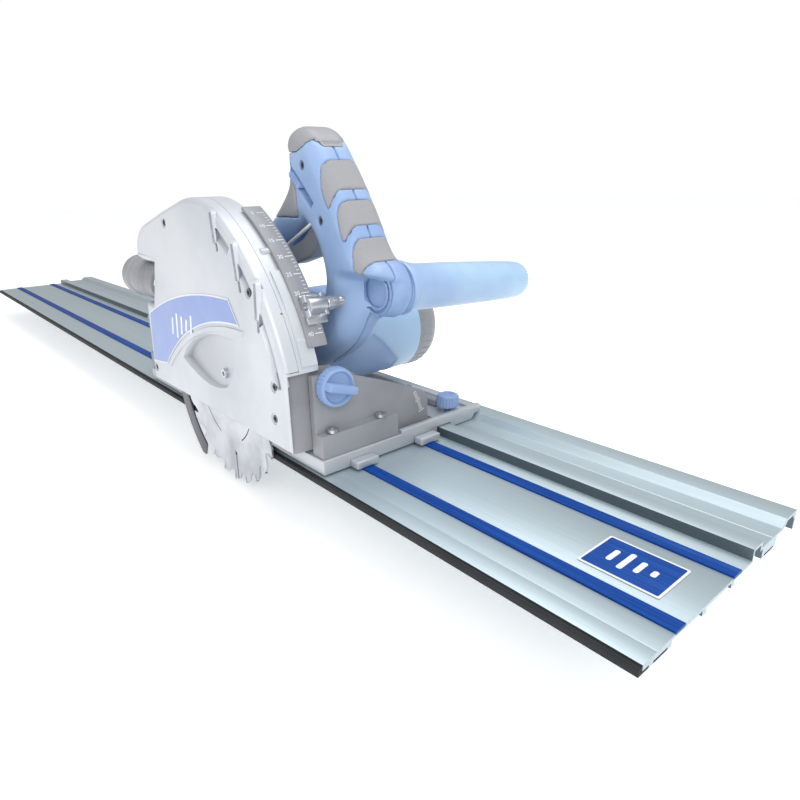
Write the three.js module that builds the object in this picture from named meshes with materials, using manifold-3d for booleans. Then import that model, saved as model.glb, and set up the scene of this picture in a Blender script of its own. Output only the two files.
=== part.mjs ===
// A 160 mm plunge saw on its aluminium guide track, blade plunged, in millimetres.
// x runs along the track in the cutting direction, y across it from the cutting edge, z up
// from the underside of the track.
import * as THREE from 'three';
import { mergeVertices } from 'three/addons/utils/BufferGeometryUtils.js';
import Module from 'manifold-3d';

const wasm = await Module();
wasm.setup();

// ---- driving dimensions ----
const gap = 0.3;
const track = { length: 1400, width: 175, top: 5, sheet: 1.8, ribFrom: 113, ribTo: 125, ribTop: 12.2 };
const strip = { width: 9.4, lefts: [29.2, 90.6], thick: 1.6, proud: 1 };
const saw = { x: 328 };
const blade = { r: 80, z: 39, y: -4.9, kerf: 2, teeth: 24, bore: 10 };
const base = { rear: -192, front: 132, left: 1.5, right: 162, under: 6.4, top: 17, pocket: 9.6 };
const cover = { left: -16, seam: -5, right: 12, wall: 2, arcX: -40, arcZ: 38, arcR: 165 };
const dust = { z: 118, mouth: 13, from: -92, to: -171.5 };
const scoopBolt = { x: 26, z: 62, r: 3 };
const pivot = { x: -112, z: 62, r: 5 };
const motor = { z: 68, r: 46, from: 39, to: 176, capTo: 202 };
const lockButton = { r: 4, turn: 55, y: 28, from: 39 };
const gears = { spindle: 30, pinion: 10, width: 10, y: 17 };
const handle = { left: 39, mid: 58, right: 77, wall: 4.2, round: 6.5 };
const inlet = { z: 229, r: 6 };
const stick = { x: 127, y: 77.4, z: 131, rootR: 22, endR: 15, length: 137, droop: 5 };
const bevel = { knobY: 19, knobZ: 67, studR: 3, knobR: 16, swing: 45 };
const fit = { x: 117, y: 138, r: 9.4 };
const bevelR = Math.hypot(bevel.knobY, bevel.knobZ);
const frontPlate = 117;
const rearPlate = -183;
const depth = { inner: 166.2, thick: 2, from: 20, to: 61, stopAt: 29 };
const coverScrews = [[103, 69], [100, 45], [79, 131], [-55, 172], [-124, 36]];

// ---- materials ----
const paint = (color, roughness, metalness = 0) =>
  new THREE.MeshStandardMaterial({ color, roughness, metalness });
const anodised = paint(0xc4cfd6, 0.4, 0.8);
const castSilver = paint(0xd9dbdf, 0.5, 0.5);
const coverSilver = paint(0xdfe1e5, 0.45, 0.2);
const blue = paint(0x3f63b4, 0.5);
const stripBlue = paint(0x1553b8, 0.4);
const black = paint(0x3a3b40, 0.6);
const rubber = paint(0x47474d, 0.85);
const steel = paint(0xb9bcc2, 0.3, 0.9);
const darkSteel = paint(0x55565c, 0.45, 0.8);
const copper = paint(0x9a5b33, 0.4, 0.8);

// ---- solids ----
function toSolid(geometry) {
  const bare = geometry.clone();
  bare.deleteAttribute('normal');
  bare.deleteAttribute('uv');
  const merged = mergeVertices(bare, 1e-4);
  return new wasm.Manifold(new wasm.Mesh({
    numProp: 3,
    vertProperties: new Float32Array(merged.attributes.position.array),
    triVerts: new Uint32Array(merged.index.array),
  }));
}

function toGeometry(solid) {
  const mesh = solid.getMesh();
  const geometry = new THREE.BufferGeometry();
  const positions = new Float32Array(mesh.numVert * 3);
  for (let i = 0; i < mesh.numVert; i += 1) {
    for (let k = 0; k < 3; k += 1) positions[3 * i + k] = mesh.vertProperties[mesh.numProp * i + k];
  }
  geometry.setAttribute('position', new THREE.BufferAttribute(positions, 3));
  geometry.setIndex(new THREE.BufferAttribute(new Uint32Array(mesh.triVerts), 1));
  geometry.computeVertexNormals();
  return geometry;
}

// The main body of a cut solid, without the slivers that coincident faces leave.
const largest = (solid) => solid.decompose().sort((a, b) => b.volume() - a.volume())[0];
const cut = (solid, ...tools) => tools.reduce((left, tool) => left.subtract(tool), solid);
const join = (solid, ...others) => others.reduce((left, other) => left.add(other), solid);

function mesh(name, solid, material) {
  const part = new THREE.Mesh(toGeometry(solid), material);
  part.name = name;
  return part;
}

function box(x0, x1, y0, y1, z0, z1) {
  const shape = new THREE.BoxGeometry(x1 - x0, y1 - y0, z1 - z0);
  shape.translate((x0 + x1) / 2, (y0 + y1) / 2, (z0 + z1) / 2);
  return toSolid(shape);
}

function shapeOf(points) {
  return new THREE.Shape(points.map(([a, b]) => new THREE.Vector2(a, b)));
}

// A side profile in (x, z), extruded across the track from y0 to y1.
function sideSlab(shape, y0, y1, curveSegments = 12) {
  const slab = new THREE.ExtrudeGeometry(shape, { depth: y1 - y0, bevelEnabled: false, curveSegments });
  slab.rotateX(Math.PI / 2);
  slab.translate(0, y1, 0);
  return toSolid(slab);
}

// A cross profile in (y, z), extruded along the track from x0 to x1.
function crossSlab(shape, x0, x1, curveSegments = 12) {
  const slab = new THREE.ExtrudeGeometry(shape, { depth: x1 - x0, bevelEnabled: false, curveSegments });
  slab.rotateX(Math.PI / 2);
  slab.rotateZ(Math.PI / 2);
  slab.translate(x0, 0, 0);
  return toSolid(slab);
}

// A turned profile of [radius, height] points, its axis along y, centred on (x, z).
function turnedY(profile, x, z, segments = 24) {
  const turned = new THREE.LatheGeometry(profile.map(([r, h]) => new THREE.Vector2(r, h)), segments);
  turned.translate(x, 0, z);
  return toSolid(turned);
}

const discY = (x, z, r, y0, y1, segments = 24) =>
  turnedY([[0, y0], [r, y0], [r, y1], [0, y1]], x, z, segments);
const ringY = (x, z, outer, inner, y0, y1, segments = 24) =>
  turnedY([[inner, y0], [outer, y0], [outer, y1], [inner, y1], [inner, y0]], x, z, segments);

// A disc with its axis along the track.
function discX(y, z, r, x0, x1, segments = 24) {
  const disc = new THREE.CylinderGeometry(r, r, x1 - x0, segments);
  disc.rotateZ(Math.PI / 2);
  disc.translate((x0 + x1) / 2, y, z);
  return toSolid(disc);
}

function discZ(x, y, r, z0, z1, segments = 24) {
  const disc = new THREE.CylinderGeometry(r, r, z1 - z0, segments);
  disc.rotateX(Math.PI / 2);
  disc.translate(x, y, (z0 + z1) / 2);
  return toSolid(disc);
}

const polar = (x, z, r, degrees) => {
  const turn = THREE.MathUtils.degToRad(degrees);
  return [x + r * Math.cos(turn), z + r * Math.sin(turn)];
};

function arcPoints(x, z, r, from, to, steps) {
  return Array.from({ length: steps + 1 }, (_, i) => polar(x, z, r, from + ((to - from) * i) / steps));
}

// A flat arc band, as a closed outline.
const bandShape = (x, z, inner, outer, from, to, steps = 14) =>
  shapeOf([...arcPoints(x, z, outer, from, to, steps), ...arcPoints(x, z, inner, to, from, steps)]);

// ---- the track ----
function trackRail() {
  const { top, sheet, width, ribFrom, ribTo, ribTop } = track;
  const under = top - sheet;
  const groove = top - (strip.thick - strip.proud) - 0.2;
  const grooves = strip.lefts.flatMap((left) => {
    const right = left + strip.width;
    return [[left - gap, top], [left - gap, groove], [right + gap, groove], [right + gap, top]];
  });
  const profile = [
    [gap, 1.6], [gap, top], ...grooves,
    [ribFrom, top], [ribFrom, ribTop], [ribTo, ribTop], [ribTo, 8], [154, 8], [159, 12.5],
    [width, 12.5], [width, 0], [172.6, 0], [172.6, 8], [170.5, 8], [170.5, 10.4], [161, 10.4], [157, 6.2],
    [147, 6.2], [147, 0], [143.3, 0], [143.3, 1.5], [130.7, 1.5], [130.7, 0], [127, 0], [127, 6.2],
    [ribTo - sheet, 6.2], [ribTo - sheet, ribTop - sheet], [ribFrom + sheet, ribTop - sheet],
    [ribFrom + sheet, under], [92, under], [92, 0], [88, 0], [88, under], [60, under], [60, 0], [56, 0],
    [56, under], [26, under], [26, 0], [22.3, 0], [22.3, 1.5], [9.7, 1.5], [9.7, 0], [6, 0], [6, 1.6],
  ];
  return crossSlab(shapeOf(profile), -track.length / 2, track.length / 2);
}

function trackParts() {
  const half = track.length / 2;
  const body = new THREE.Group();
  body.add(mesh('track_rail', trackRail(), anodised));
  strip.lefts.forEach((left, i) => {
    const z1 = track.top + strip.proud;
    const glide = box(-half, half, left, left + strip.width, z1 - strip.thick, z1);
    body.add(mesh(['glide_strip_left', 'glide_strip_right'][i], glide, stripBlue));
  });
  const guard = [[-2.9, 0], [5.7, 0], [5.7, 1.3], [0, 1.3], [0, 4.4], [-2.9, 4.4]];
  body.add(mesh('splinter_guard', crossSlab(shapeOf(guard), -half, half), rubber));
  body.add(mesh('grip_strip_left', box(-half, half, 10, 22, 0, 1.2), rubber));
  body.add(mesh('grip_strip_right', box(-half, half, 131, 143, 0, 1.2), rubber));
  const badge = box(636, 683, 46, 80, track.top + gap, track.top + 0.8);
  body.add(mesh('track_badge', badge, stripBlue));
  return body;
}

// ---- the base ----
function basePlate() {
  const { rear, front, left, right, under, top, pocket } = base;
  const profile = [
    [left, under], [111.4, under], [111.4, 13], [126.6, 13], [126.6, 8.7], [151.5, 8.7], [155.5, 13.2],
    [right, 13.2], [right, top], [left, top],
  ];
  const plate = crossSlab(shapeOf(profile), rear, front);
  const pockets = [[-62, 62, 3.8, 104], [-150, -70, 30, 104], [68, 104, 76, 106], [-62, 62, 129, 150]];
  const tools = pockets.map(([x0, x1, y0, y1]) => box(x0, x1, y0, y1, pocket, top + 9));
  const lip = box(front - 5, front, 74, right, top - 0.5, top + 3);
  const rails = [112, 152].map((y) => box(rear, front, y, y + 2.4, top - 0.5, top + 2.2));
  const studHole = discZ(fit.x, fit.y, 2.9, 11, 30);
  const slots = [0, 1].map((i) => box(106, 124, 84 + 11 * i, 89 + 11 * i, 13, 30));
  return cut(join(plate, lip, ...rails), ...tools, ...slots, studHole);
}

function glideShoe(y0, y1) {
  return box(base.front + gap, base.front + 9, y0, y1, 6.3, 12);
}

// The lock knob: a fluted cap on a stud that bears on the track's rib.
function fitKnob() {
  const flutes = 12;
  const outline = Array.from({ length: flutes * 2 }, (_, i) =>
    polar(0, 0, i % 2 ? fit.r - 0.8 : fit.r, (180 * i) / flutes));
  const cap = new THREE.ExtrudeGeometry(shapeOf(outline), {
    depth: 11, bevelThickness: 1.2, bevelSize: 1, bevelOffset: -1, bevelSegments: 1,
  });
  cap.translate(fit.x, fit.y, base.top + 3);
  return join(toSolid(cap), discZ(fit.x, fit.y, 2.5, 13.6, base.top + 4));
}

// ---- bevel brackets at the front and rear ----
const knobTurn = THREE.MathUtils.radToDeg(Math.atan2(bevel.knobZ, bevel.knobY));

function bevelBracket(x0, thick, footTo) {
  const foot = base.top + gap;
  const outline = [[3, foot], [110, foot], [110, 38], [104, 44], [63, 61], [28, 74], [3, 76.5]];
  const plate = crossSlab(shapeOf(outline), x0, x0 + thick);
  const [f0, f1] = footTo > x0 ? [x0 + thick - 1, footTo] : [footTo, x0 + 1];
  const step = box(f0, f1, 3, 72, foot, foot + 17);
  const arc = bandShape(0, 0, 94, 106, 17, 28, 6);
  const scale = crossSlab(arc, Math.min(f0, x0), Math.max(f0, x0 + thick));
  const studHole = discX(bevel.knobY, bevel.knobZ, bevel.studR + 0.4, x0 - 20, x0 + 30);
  const screwX = (f0 + f1) / 2 + (footTo > x0 ? 1.2 : -1.2);
  const holes = [14, 58].map((y) => discZ(screwX, y, 2.6, base.top - 1, foot + 30));
  const keepScale = cut(scale, box(-400, 400, -200, 200, -200, foot));
  return cut(join(plate, step, keepScale), studHole, ...holes);
}

function bracketScrew(x, y) {
  const foot = base.top + gap;
  const head = discZ(x, y, 4.2, foot + 17 + gap, foot + 20, 16);
  return join(head, discZ(x, y, 2.2, foot + 0.4, foot + 18, 12));
}

// The curved slot that slides past the knob's stud.
function studSlot(from, x0, x1) {
  return crossSlab(bandShape(0, 0, bevelR - 3.5, bevelR + 3.5, from, knobTurn + 3, 14), x0, x1);
}

function tiltSector(x0, x1) {
  const from = knobTurn - bevel.swing - 6;
  const sector = crossSlab(bandShape(0, 0, bevelR - 13, bevelR + 12, from, 84, 12), x0, x1);
  const slot = studSlot(knobTurn - bevel.swing - 2.6, x0 - 1, x1 + 1);
  return cut(sector, slot, box(x0 - 5, x1 + 5, -50, cover.right + gap, 0, 120));
}

function frontTiltBlock() {
  const plan = shapeOf([
    [88, -13.6], [112, -13.6], [115, -9], [115.6, -2], [115.6, 11.6], [88, 11.6],
  ]);
  const body = new THREE.ExtrudeGeometry(plan, { depth: 58, bevelEnabled: false });
  body.translate(0, 0, 21);
  const hollow = box(80, 111, -11, 9.4, 10, 74);
  const screws = coverScrews.slice(0, 2).map(([x, z]) => discY(x, z, 3, -20, -5, 16));
  const ledge = box(108, 115, 11, 24, 52, 79);
  const sector = tiltSector(111, 115);
  const stud = discX(bevel.knobY, bevel.knobZ, 8.4, 100, 111);
  const slotClear = studSlot(knobTurn - 60, 100, 116);
  const block = cut(toSolid(body), hollow, ...screws);
  return cut(join(block, cut(ledge, stud, slotClear), sector), box(80, 111, 12.1, 200, 0, 120));
}

function rearTiltSegment() {
  const side = cover.right + gap;
  const arm = join(box(-176, -132, side, 18, 44, 58), box(-135, -118, side, 16, 30, 46));
  return join(tiltSector(-178, -174), cut(arm, discX(bevel.knobY, bevel.knobZ, 9, -174, -160)));
}

// A round knob with a wing across it, its stud and the head behind the slotted segment.
function bevelKnob(outward, faceX, headX) {
  const { knobY, knobZ, studR, knobR } = bevel;
  const span = (a, b) => [Math.min(a, b), Math.max(a, b)];
  const [a0, a1] = span(faceX, faceX + outward * 9);
  const [b0, b1] = span(faceX + outward * 8, faceX + outward * 16);
  const [s0, s1] = span(headX, faceX + outward * 2);
  const [h0, h1] = span(headX, headX - outward * 4);
  const wing = box(b0, b1, knobY - 4, knobY + 4, knobZ - knobR + 1.5, knobZ + knobR - 1.5);
  return join(discX(knobY, knobZ, knobR, a0, a1, 28), wing, discX(knobY, knobZ, studR, s0, s1, 16),
    discX(knobY, knobZ, 6, h0, h1, 6));
}

// ---- the blade cover ----
function coverOutline() {
  const { arcX, arcZ, arcR } = cover;
  const start = THREE.MathUtils.radToDeg(Math.atan2(82 - arcZ, 121 - arcX));
  const outline = new THREE.Shape();
  outline.moveTo(-133, 23);
  outline.lineTo(119, 23);
  outline.lineTo(...polar(arcX, arcZ, arcR, start));
  arcPoints(arcX, arcZ, arcR, start, 62, 9).forEach(([x, z]) => outline.lineTo(x, z));
  outline.bezierCurveTo(22, 189, 4, 190, -20, 186);
  outline.lineTo(-104, 169);
  outline.quadraticCurveTo(-131, 164, -131, 140);
  outline.quadraticCurveTo(-126, 137.4, -112, 137);
  outline.lineTo(...dustSeat[0]);
  outline.lineTo(...dustSeat[1]);
  outline.lineTo(-125, 98.6);
  outline.lineTo(-127, 81);
  outline.closePath();
  return outline;
}

function scoopShape(grow) {
  const shape = new THREE.Shape();
  shape.moveTo(-53 - grow, 60);
  shape.quadraticCurveTo(-20, 96 + grow, 50 + grow, 94 + grow);
  shape.quadraticCurveTo(53 + grow, 70, 30 + grow * 0.7, 51 - grow * 0.7);
  shape.quadraticCurveTo(-4, 38 - 1.6 * grow, -53 - grow, 60);
  return shape;
}

const labelArc = { x: 59, z: -119, r: 223.5 };
const bossScrews = coverScrews.slice(2);
const dustSeat = [[-92, 137], [-108, 98.6]];
const dustHole = () => discX(0, dust.z, dust.mouth, dust.from - 22, dust.from + 8, 24);

function coverShell(y0, y1, faceFrom, faceTo) {
  const { wall } = cover;
  const outer = sideSlab(coverOutline(), y0, y1, 5);
  const inset = new THREE.ExtrudeGeometry(coverOutline(), {
    depth: 60, bevelThickness: 0, bevelSize: 0, bevelOffset: -wall, bevelSegments: 1, curveSegments: 5,
  });
  inset.rotateX(Math.PI / 2);
  inset.translate(0, 30, 0);
  const inside = join(toSolid(inset), box(-104, 86, -40, 40, 10, 30));
  const cavity = cut(inside, box(-300, 300, faceFrom, faceTo, -50, 300));
  return cut(outer, cavity);
}

function coverOuter() {
  const { left, seam } = cover;
  const top = seam - gap / 2;
  const shell = coverShell(left, top, left, left + 1.8);
  const bosses = bossScrews.map(([x, z]) => discY(x, z, 4.6, left + 1, top, 10));
  const holes = coverScrews.map(([x, z]) => discY(x, z, 3, left - 1, top + 1, 10));
  const scoop = sideSlab(scoopShape(1.6), left + 0.5, left + 6, 6);
  const recess = sideSlab(scoopShape(0), left - 1, left + 4.4, 6);
  const bolt = discY(scoopBolt.x, scoopBolt.z, scoopBolt.r + 0.4, left - 1, left + 8, 12);
  const { x, z, r } = labelArc;
  const rim = sideSlab(bandShape(x, z, r - 7, r - 1.5, 88, 133, 9), left - 1.2, left + 0.5);
  const frontOpening = box(87.7, 130, left + 2.1, top + 1, 0, 79.3);
  const port = dustHole();
  return cut(join(shell, ...bosses, scoop, rim), ...holes, recess, bolt, port, frontOpening);
}

function coverInner() {
  const { seam, right } = cover;
  const low = seam + gap / 2;
  const shell = coverShell(low, right, right - 1.8, right);
  const window = box(-46, 44, right - 4, right + 2, 10, 128);
  const bosses = bossScrews.map(([x, z]) => discY(x, z, 4.6, low, right - 1, 10));
  const holes = bossScrews.map(([x, z]) => discY(x, z, 3, low - 1, right - 3, 10));
  const port = dustHole();
  const frontOpening = box(87.7, 130, low - 1, right + 1, 0, 79.3);
  const pinHole = discY(pivot.x, pivot.z, pivot.r + gap, -20, 20, 24);
  const pinBoss = cut(discY(pivot.x, pivot.z, 11, right - 8, right, 24), pinHole);
  const ridges = [22, 46].map((turn) => {
    const [x, z] = polar(cover.arcX, cover.arcZ, cover.arcR - 1.4, turn);
    return discY(x, z, 2.4, seam + 4, right, 10);
  });
  const body = cut(join(shell, ...bosses, ...ridges), ...holes, window, port, frontOpening, pinHole);
  return join(body, pinBoss);
}

// The tube's inner end is cut to the slanting seat in the rear of the cover.
function dustPort() {
  const { z, from, to } = dust;
  const length = from - to;
  const profile = [
    [15, 0], [18, 0], [18, length - 12], [19.5, length - 11], [19.5, length], [16.5, length], [15, 0],
  ];
  const tube = new THREE.LatheGeometry(profile.map(([r, h]) => new THREE.Vector2(r, h)), 24);
  tube.rotateZ(Math.PI / 2);
  tube.translate(from, 0, z);
  const [[x0, z0], [x1, z1]] = dustSeat;
  const ahead = shapeOf([[x0 - gap, z0], [x1 - gap, z1], [x1, 80], [0, 80], [0, 160], [x0, 160]]);
  const seat = sideSlab(ahead, -30, 30);
  return cut(toSolid(tube), seat);
}

// The label's lower edge follows the raised arc on the cover's face.
function coverLabel() {
  const label = new THREE.Shape();
  label.moveTo(-118, 90);
  label.quadraticCurveTo(-40, 124, 48, 123);
  arcPoints(labelArc.x, labelArc.z, labelArc.r, 89.5, 132.5, 10).forEach(([x, z]) => label.lineTo(x, z));
  label.lineTo(-126, 42);
  label.closePath();
  return sideSlab(label, cover.left - 0.9, cover.left - gap, 10);
}

function depthScale() {
  const { inner, thick, from, to } = depth;
  return sideSlab(bandShape(cover.arcX, cover.arcZ, inner, inner + thick, from, to, 20),
    cover.right - 7, cover.right + 8);
}

function depthStop() {
  const { inner, thick, stopAt } = depth;
  const low = inner + thick + gap;
  const outline = bandShape(cover.arcX, cover.arcZ, low, inner + 14, stopAt - 4, stopAt + 3, 4);
  const [px, pz] = polar(cover.arcX, cover.arcZ, inner + 8, stopAt);
  const hole = discY(px, pz, 3, cover.right - 2, cover.right + 20, 16);
  return cut(sideSlab(outline, cover.right - 4, cover.right + 12), hole);
}

function depthStopScrew() {
  const [px, pz] = polar(cover.arcX, cover.arcZ, depth.inner + 8, depth.stopAt);
  const y = cover.right;
  const head = y + 12.4;
  const profile = [[0, y - 1.6], [2.6, y - 1.6], [2.6, head], [4.4, head], [4.4, y + 25], [0, y + 25]];
  return turnedY(profile, px, pz, 16);
}

// ---- the plunging unit ----
function housingShape(grow) {
  const shape = new THREE.Shape();
  const [mr, sr] = [45 + grow, 26 + grow];
  const points = [
    ...arcPoints(0, motor.z, mr, -20, 150, 18),
    ...arcPoints(0, blade.z, sr, 205, 325, 10),
  ];
  points.forEach(([x, z], i) => (i ? shape.lineTo(x, z) : shape.moveTo(x, z)));
  shape.closePath();
  return shape;
}

// Turns a shape that stands on the origin so that it points out of the housing at the lock button.
function towardsButton(shape) {
  const { turn, y, from } = lockButton;
  const [x, z] = polar(0, motor.z, from, turn);
  shape.rotateX(Math.PI / 2);
  shape.rotateY(THREE.MathUtils.degToRad(90 - turn));
  shape.translate(x, y, z);
  return toSolid(shape);
}

function gearHousing() {
  const y0 = cover.right + gap;
  const y1 = motor.from - gap;
  const shell = sideSlab(housingShape(0), y0, y1, 6);
  const arm = sideSlab(shapeOf([
    ...arcPoints(pivot.x, pivot.z, 13, 80, 280, 10), [-34, 46], [-34, 92],
  ]), y0, 25);
  const nose = discY(0, blade.z, 16.4, 3, y0 + 1);
  const cavity = sideSlab(housingShape(-2.6), y0 + 2.4, y1 + 1, 6);
  const bore = discY(0, blade.z, 11, 0, y0 + 4);
  const pinBore = discY(pivot.x, pivot.z, pivot.r + 0.4, 0, 50, 24);
  const button = new THREE.CylinderGeometry(lockButton.r + 0.4, lockButton.r + 0.4, 30, 20);
  return cut(join(cut(join(shell, arm), cavity), nose), bore, pinBore, towardsButton(button));
}

function spindleLock() {
  const { r } = lockButton;
  const lathe = [[0, 0], [r, 0], [r, 9], [r - 1, 10], [0, 10]];
  return towardsButton(new THREE.LatheGeometry(lathe.map(([x, h]) => new THREE.Vector2(x, h)), 20));
}

function motorHousing() {
  const { z, r, from, to } = motor;
  const profile = [
    [r - 1, from], [r, from + 12], [r, 100], [r - 3, to], [r - 6.4, to], [r - 3.4, 100],
    [r - 3.4, from + 12], [r - 4.4, from], [r - 1, from],
  ];
  const shell = turnedY(profile, 0, z, 36);
  const vents = [-50, -20, 10].map((turn) => {
    const slit = new THREE.BoxGeometry(14, 26, 3);
    slit.translate(r, 160, 0);
    slit.rotateY(-THREE.MathUtils.degToRad(turn));
    slit.translate(0, 0, z);
    return toSolid(slit);
  });
  return cut(shell, ...vents);
}

function motorEndCap() {
  const { z, r, to, capTo } = motor;
  const profile = [
    [0, capTo], [r - 12, capTo], [r - 6, capTo - 4], [r - 3, capTo - 12], [r - 3, to + gap],
    [r - 6, to + gap], [r - 6, capTo - 12], [r - 10, capTo - 6], [r - 14, capTo - 3], [11.4, capTo - 3],
    [11.4, capTo - 10], [9.2, capTo - 10], [9.2, capTo - 3], [0, capTo - 3],
  ].reverse();
  const cap = turnedY(profile, 0, z, 32);
  const slots = [-2, 2].map((i) => box(-16, 16, capTo - 6, capTo + 1, z - 1.5 + i * 9, z + 1.5 + i * 9));
  const hub = discY(0, z, 12, capTo - 20, capTo + 4);
  return cut(cap, ...slots.map((slot) => cut(slot, hub)));
}

function gearShape(teeth, pitchR, tip, root) {
  const step = 360 / teeth;
  const points = Array.from({ length: teeth }, (_, i) => [
    polar(0, 0, root, i * step - step * 0.31), polar(0, 0, tip, i * step - step * 0.13),
    polar(0, 0, tip, i * step + step * 0.13), polar(0, 0, root, i * step + step * 0.31),
  ]).flat();
  return shapeOf(points);
}

const centreDistance = motor.z - blade.z;
const pitch = (teeth) => (centreDistance * teeth) / (gears.spindle + gears.pinion);

function gearDisc(teeth, turn, x, z, boreR) {
  const r = pitch(teeth);
  const shape = gearShape(teeth, r, r + 0.9, r - 1.3);
  const wheel = new THREE.ExtrudeGeometry(shape, { depth: gears.width, bevelEnabled: false });
  wheel.rotateZ(THREE.MathUtils.degToRad(turn));
  wheel.rotateX(Math.PI / 2);
  wheel.translate(x, gears.y + gears.width, z);
  const solid = toSolid(wheel);
  return boreR ? cut(solid, discY(x, z, boreR, 0, 60, 24)) : solid;
}

function rotor() {
  const z = motor.z;
  const profile = [
    [0, 15.6], [3.6, 15.6], [3.6, 46], [33, 46], [36, 48], [36, 54], [8, 56], [5, 60], [5, 72], [23, 72],
    [23, 126], [5, 126], [5, 136], [12, 136], [12, 152], [4, 152], [4, 196], [0, 196],
  ];
  return join(turnedY(profile, 0, z, 18), gearDisc(gears.pinion, 90, 0, z, 0));
}

function stator() {
  return ringY(0, motor.z, 41, 25, 74, 124);
}

function bladeDisc() {
  const { r, z, y, kerf, teeth } = blade;
  const step = 360 / teeth;
  const points = Array.from({ length: teeth }, (_, i) => {
    const a = i * step;
    return [[r - 8, 0], [r, 1.6], [r - 1.4, 6], [r - 8.5, 11]].map(([far, on]) => polar(0, 0, far, a + on));
  }).flat();
  const disc = new THREE.ExtrudeGeometry(shapeOf(points), { depth: kerf, bevelEnabled: false });
  disc.rotateX(Math.PI / 2);
  disc.translate(0, y + kerf / 2, z);
  const slots = [0, 1, 2, 3].map((i) => {
    const slot = new THREE.BoxGeometry(22, 4, 1);
    slot.translate(r - 15, y, 0);
    slot.rotateY(-THREE.MathUtils.degToRad(90 * i + 6));
    slot.translate(0, 0, z);
    return toSolid(slot);
  });
  return cut(toSolid(disc), ...slots, discY(0, z, blade.bore + gap, y - 3, y + 3, 24));
}

function spindle() {
  const z = blade.z;
  return turnedY([
    [0, -4], [5, -4], [5, 13], [6.4, 13], [6.4, 36], [0, 36],
  ], 0, z, 24);
}

function innerFlange() {
  const face = blade.y + blade.kerf / 2 + gap;
  const profile = [
    [5.3, face], [17, face], [17, face + 2.4], [9, face + 3.4], [9, 12.6], [5.3, 12.6], [5.3, face],
  ];
  return turnedY(profile, 0, blade.z);
}

// The arbor bolt with its captive outer flange.
function arborBolt() {
  const face = blade.y - blade.kerf / 2 - gap;
  const head = face - 1.7;
  const bolt = join(
    ringY(0, blade.z, 16, 3, head, face, 28),
    discY(0, blade.z, 7.5, head - 1.6, head + 0.2, 24),
    discY(0, blade.z, 4, head, -4.3, 20),
  );
  return cut(bolt, discY(0, blade.z, 3, head - 2, head - 0.6, 6));
}

function rivingKnife() {
  const z = blade.z;
  const y = blade.y;
  const arc = [
    ...arcPoints(0, z, 84, 158, 231, 12), [-58, -37.5], [-64, -37], ...arcPoints(0, z, 99, 222, 158, 12),
  ];
  const leaf = sideSlab(shapeOf(arc), y - 0.75, y + 0.75);
  const root = sideSlab(bandShape(0, z, 84, 97, 158, 176, 5), y - 0.7, 7);
  const arm = sideSlab(shapeOf([
    polar(0, z, 20, 195), polar(0, z, 88, 176), polar(0, z, 88, 160), polar(0, z, 20, 140),
  ]), 4.5, 7);
  const ring = ringY(0, z, 21.4, 16.8, 4.5, 7, 28);
  return join(leaf, root, cut(arm, discY(0, z, 18, 0, 12)), ring);
}

// ---- the handles ----
const gripOutline = [
  [-52, 112], [-50, 86], [-40, 70], [52, 62], [76, 70], [100, 86], [118, 106], [137, 110], [148, 121],
  [150, 133], [143, 146], [130, 154], [120, 170], [108, 190], [93, 210], [79, 223], [62, 232], [47, 234],
  [36, 224], [28, 212], [26, 198], [14, 184], [-8, 167], [-30, 148], [-46, 131],
];
const fingerHole = [
  [67, 170], [76, 161], [83, 147], [85, 134], [80, 122], [64, 118], [8, 118], [-12, 122], [-16, 130],
  [2, 145], [22, 153], [58, 172],
];

function smoothPath(points, divisions) {
  const curve = new THREE.CatmullRomCurve3(
    points.map(([x, z]) => new THREE.Vector3(x, z, 0)), true, 'centripetal');
  return curve.getPoints(divisions).slice(0, -1).map((p) => new THREE.Vector2(p.x, p.y));
}

function handleSolid(inset) {
  const shape = new THREE.Shape(smoothPath(gripOutline, 40));
  shape.holes.push(new THREE.Path(smoothPath(fingerHole, 18).reverse()));
  const { left, right, round } = handle;
  const body = new THREE.ExtrudeGeometry(shape, {
    depth: right - left - 2 * round, bevelThickness: round - inset, bevelSize: round - inset,
    bevelOffset: -round, bevelSegments: 1,
  });
  body.rotateX(Math.PI / 2);
  body.translate(0, right - round, 0);
  return toSolid(body);
}

const insertBands = [
  [[88, 182], [84, 200], [81, 213], [98, 226], [122, 210], [106, 201], [96, 193]],
  [[108, 160], [101, 176], [99, 186], [112, 194], [130, 182], [124, 174], [114, 168]],
  [[124, 143], [116, 152], [115, 160], [126, 168], [144, 160], [134, 152], [129, 148]],
];
const capLine = [[0, 300], [0, 222], [52, 222], [66, 226], [84, 219], [140, 219], [140, 300]];

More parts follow.
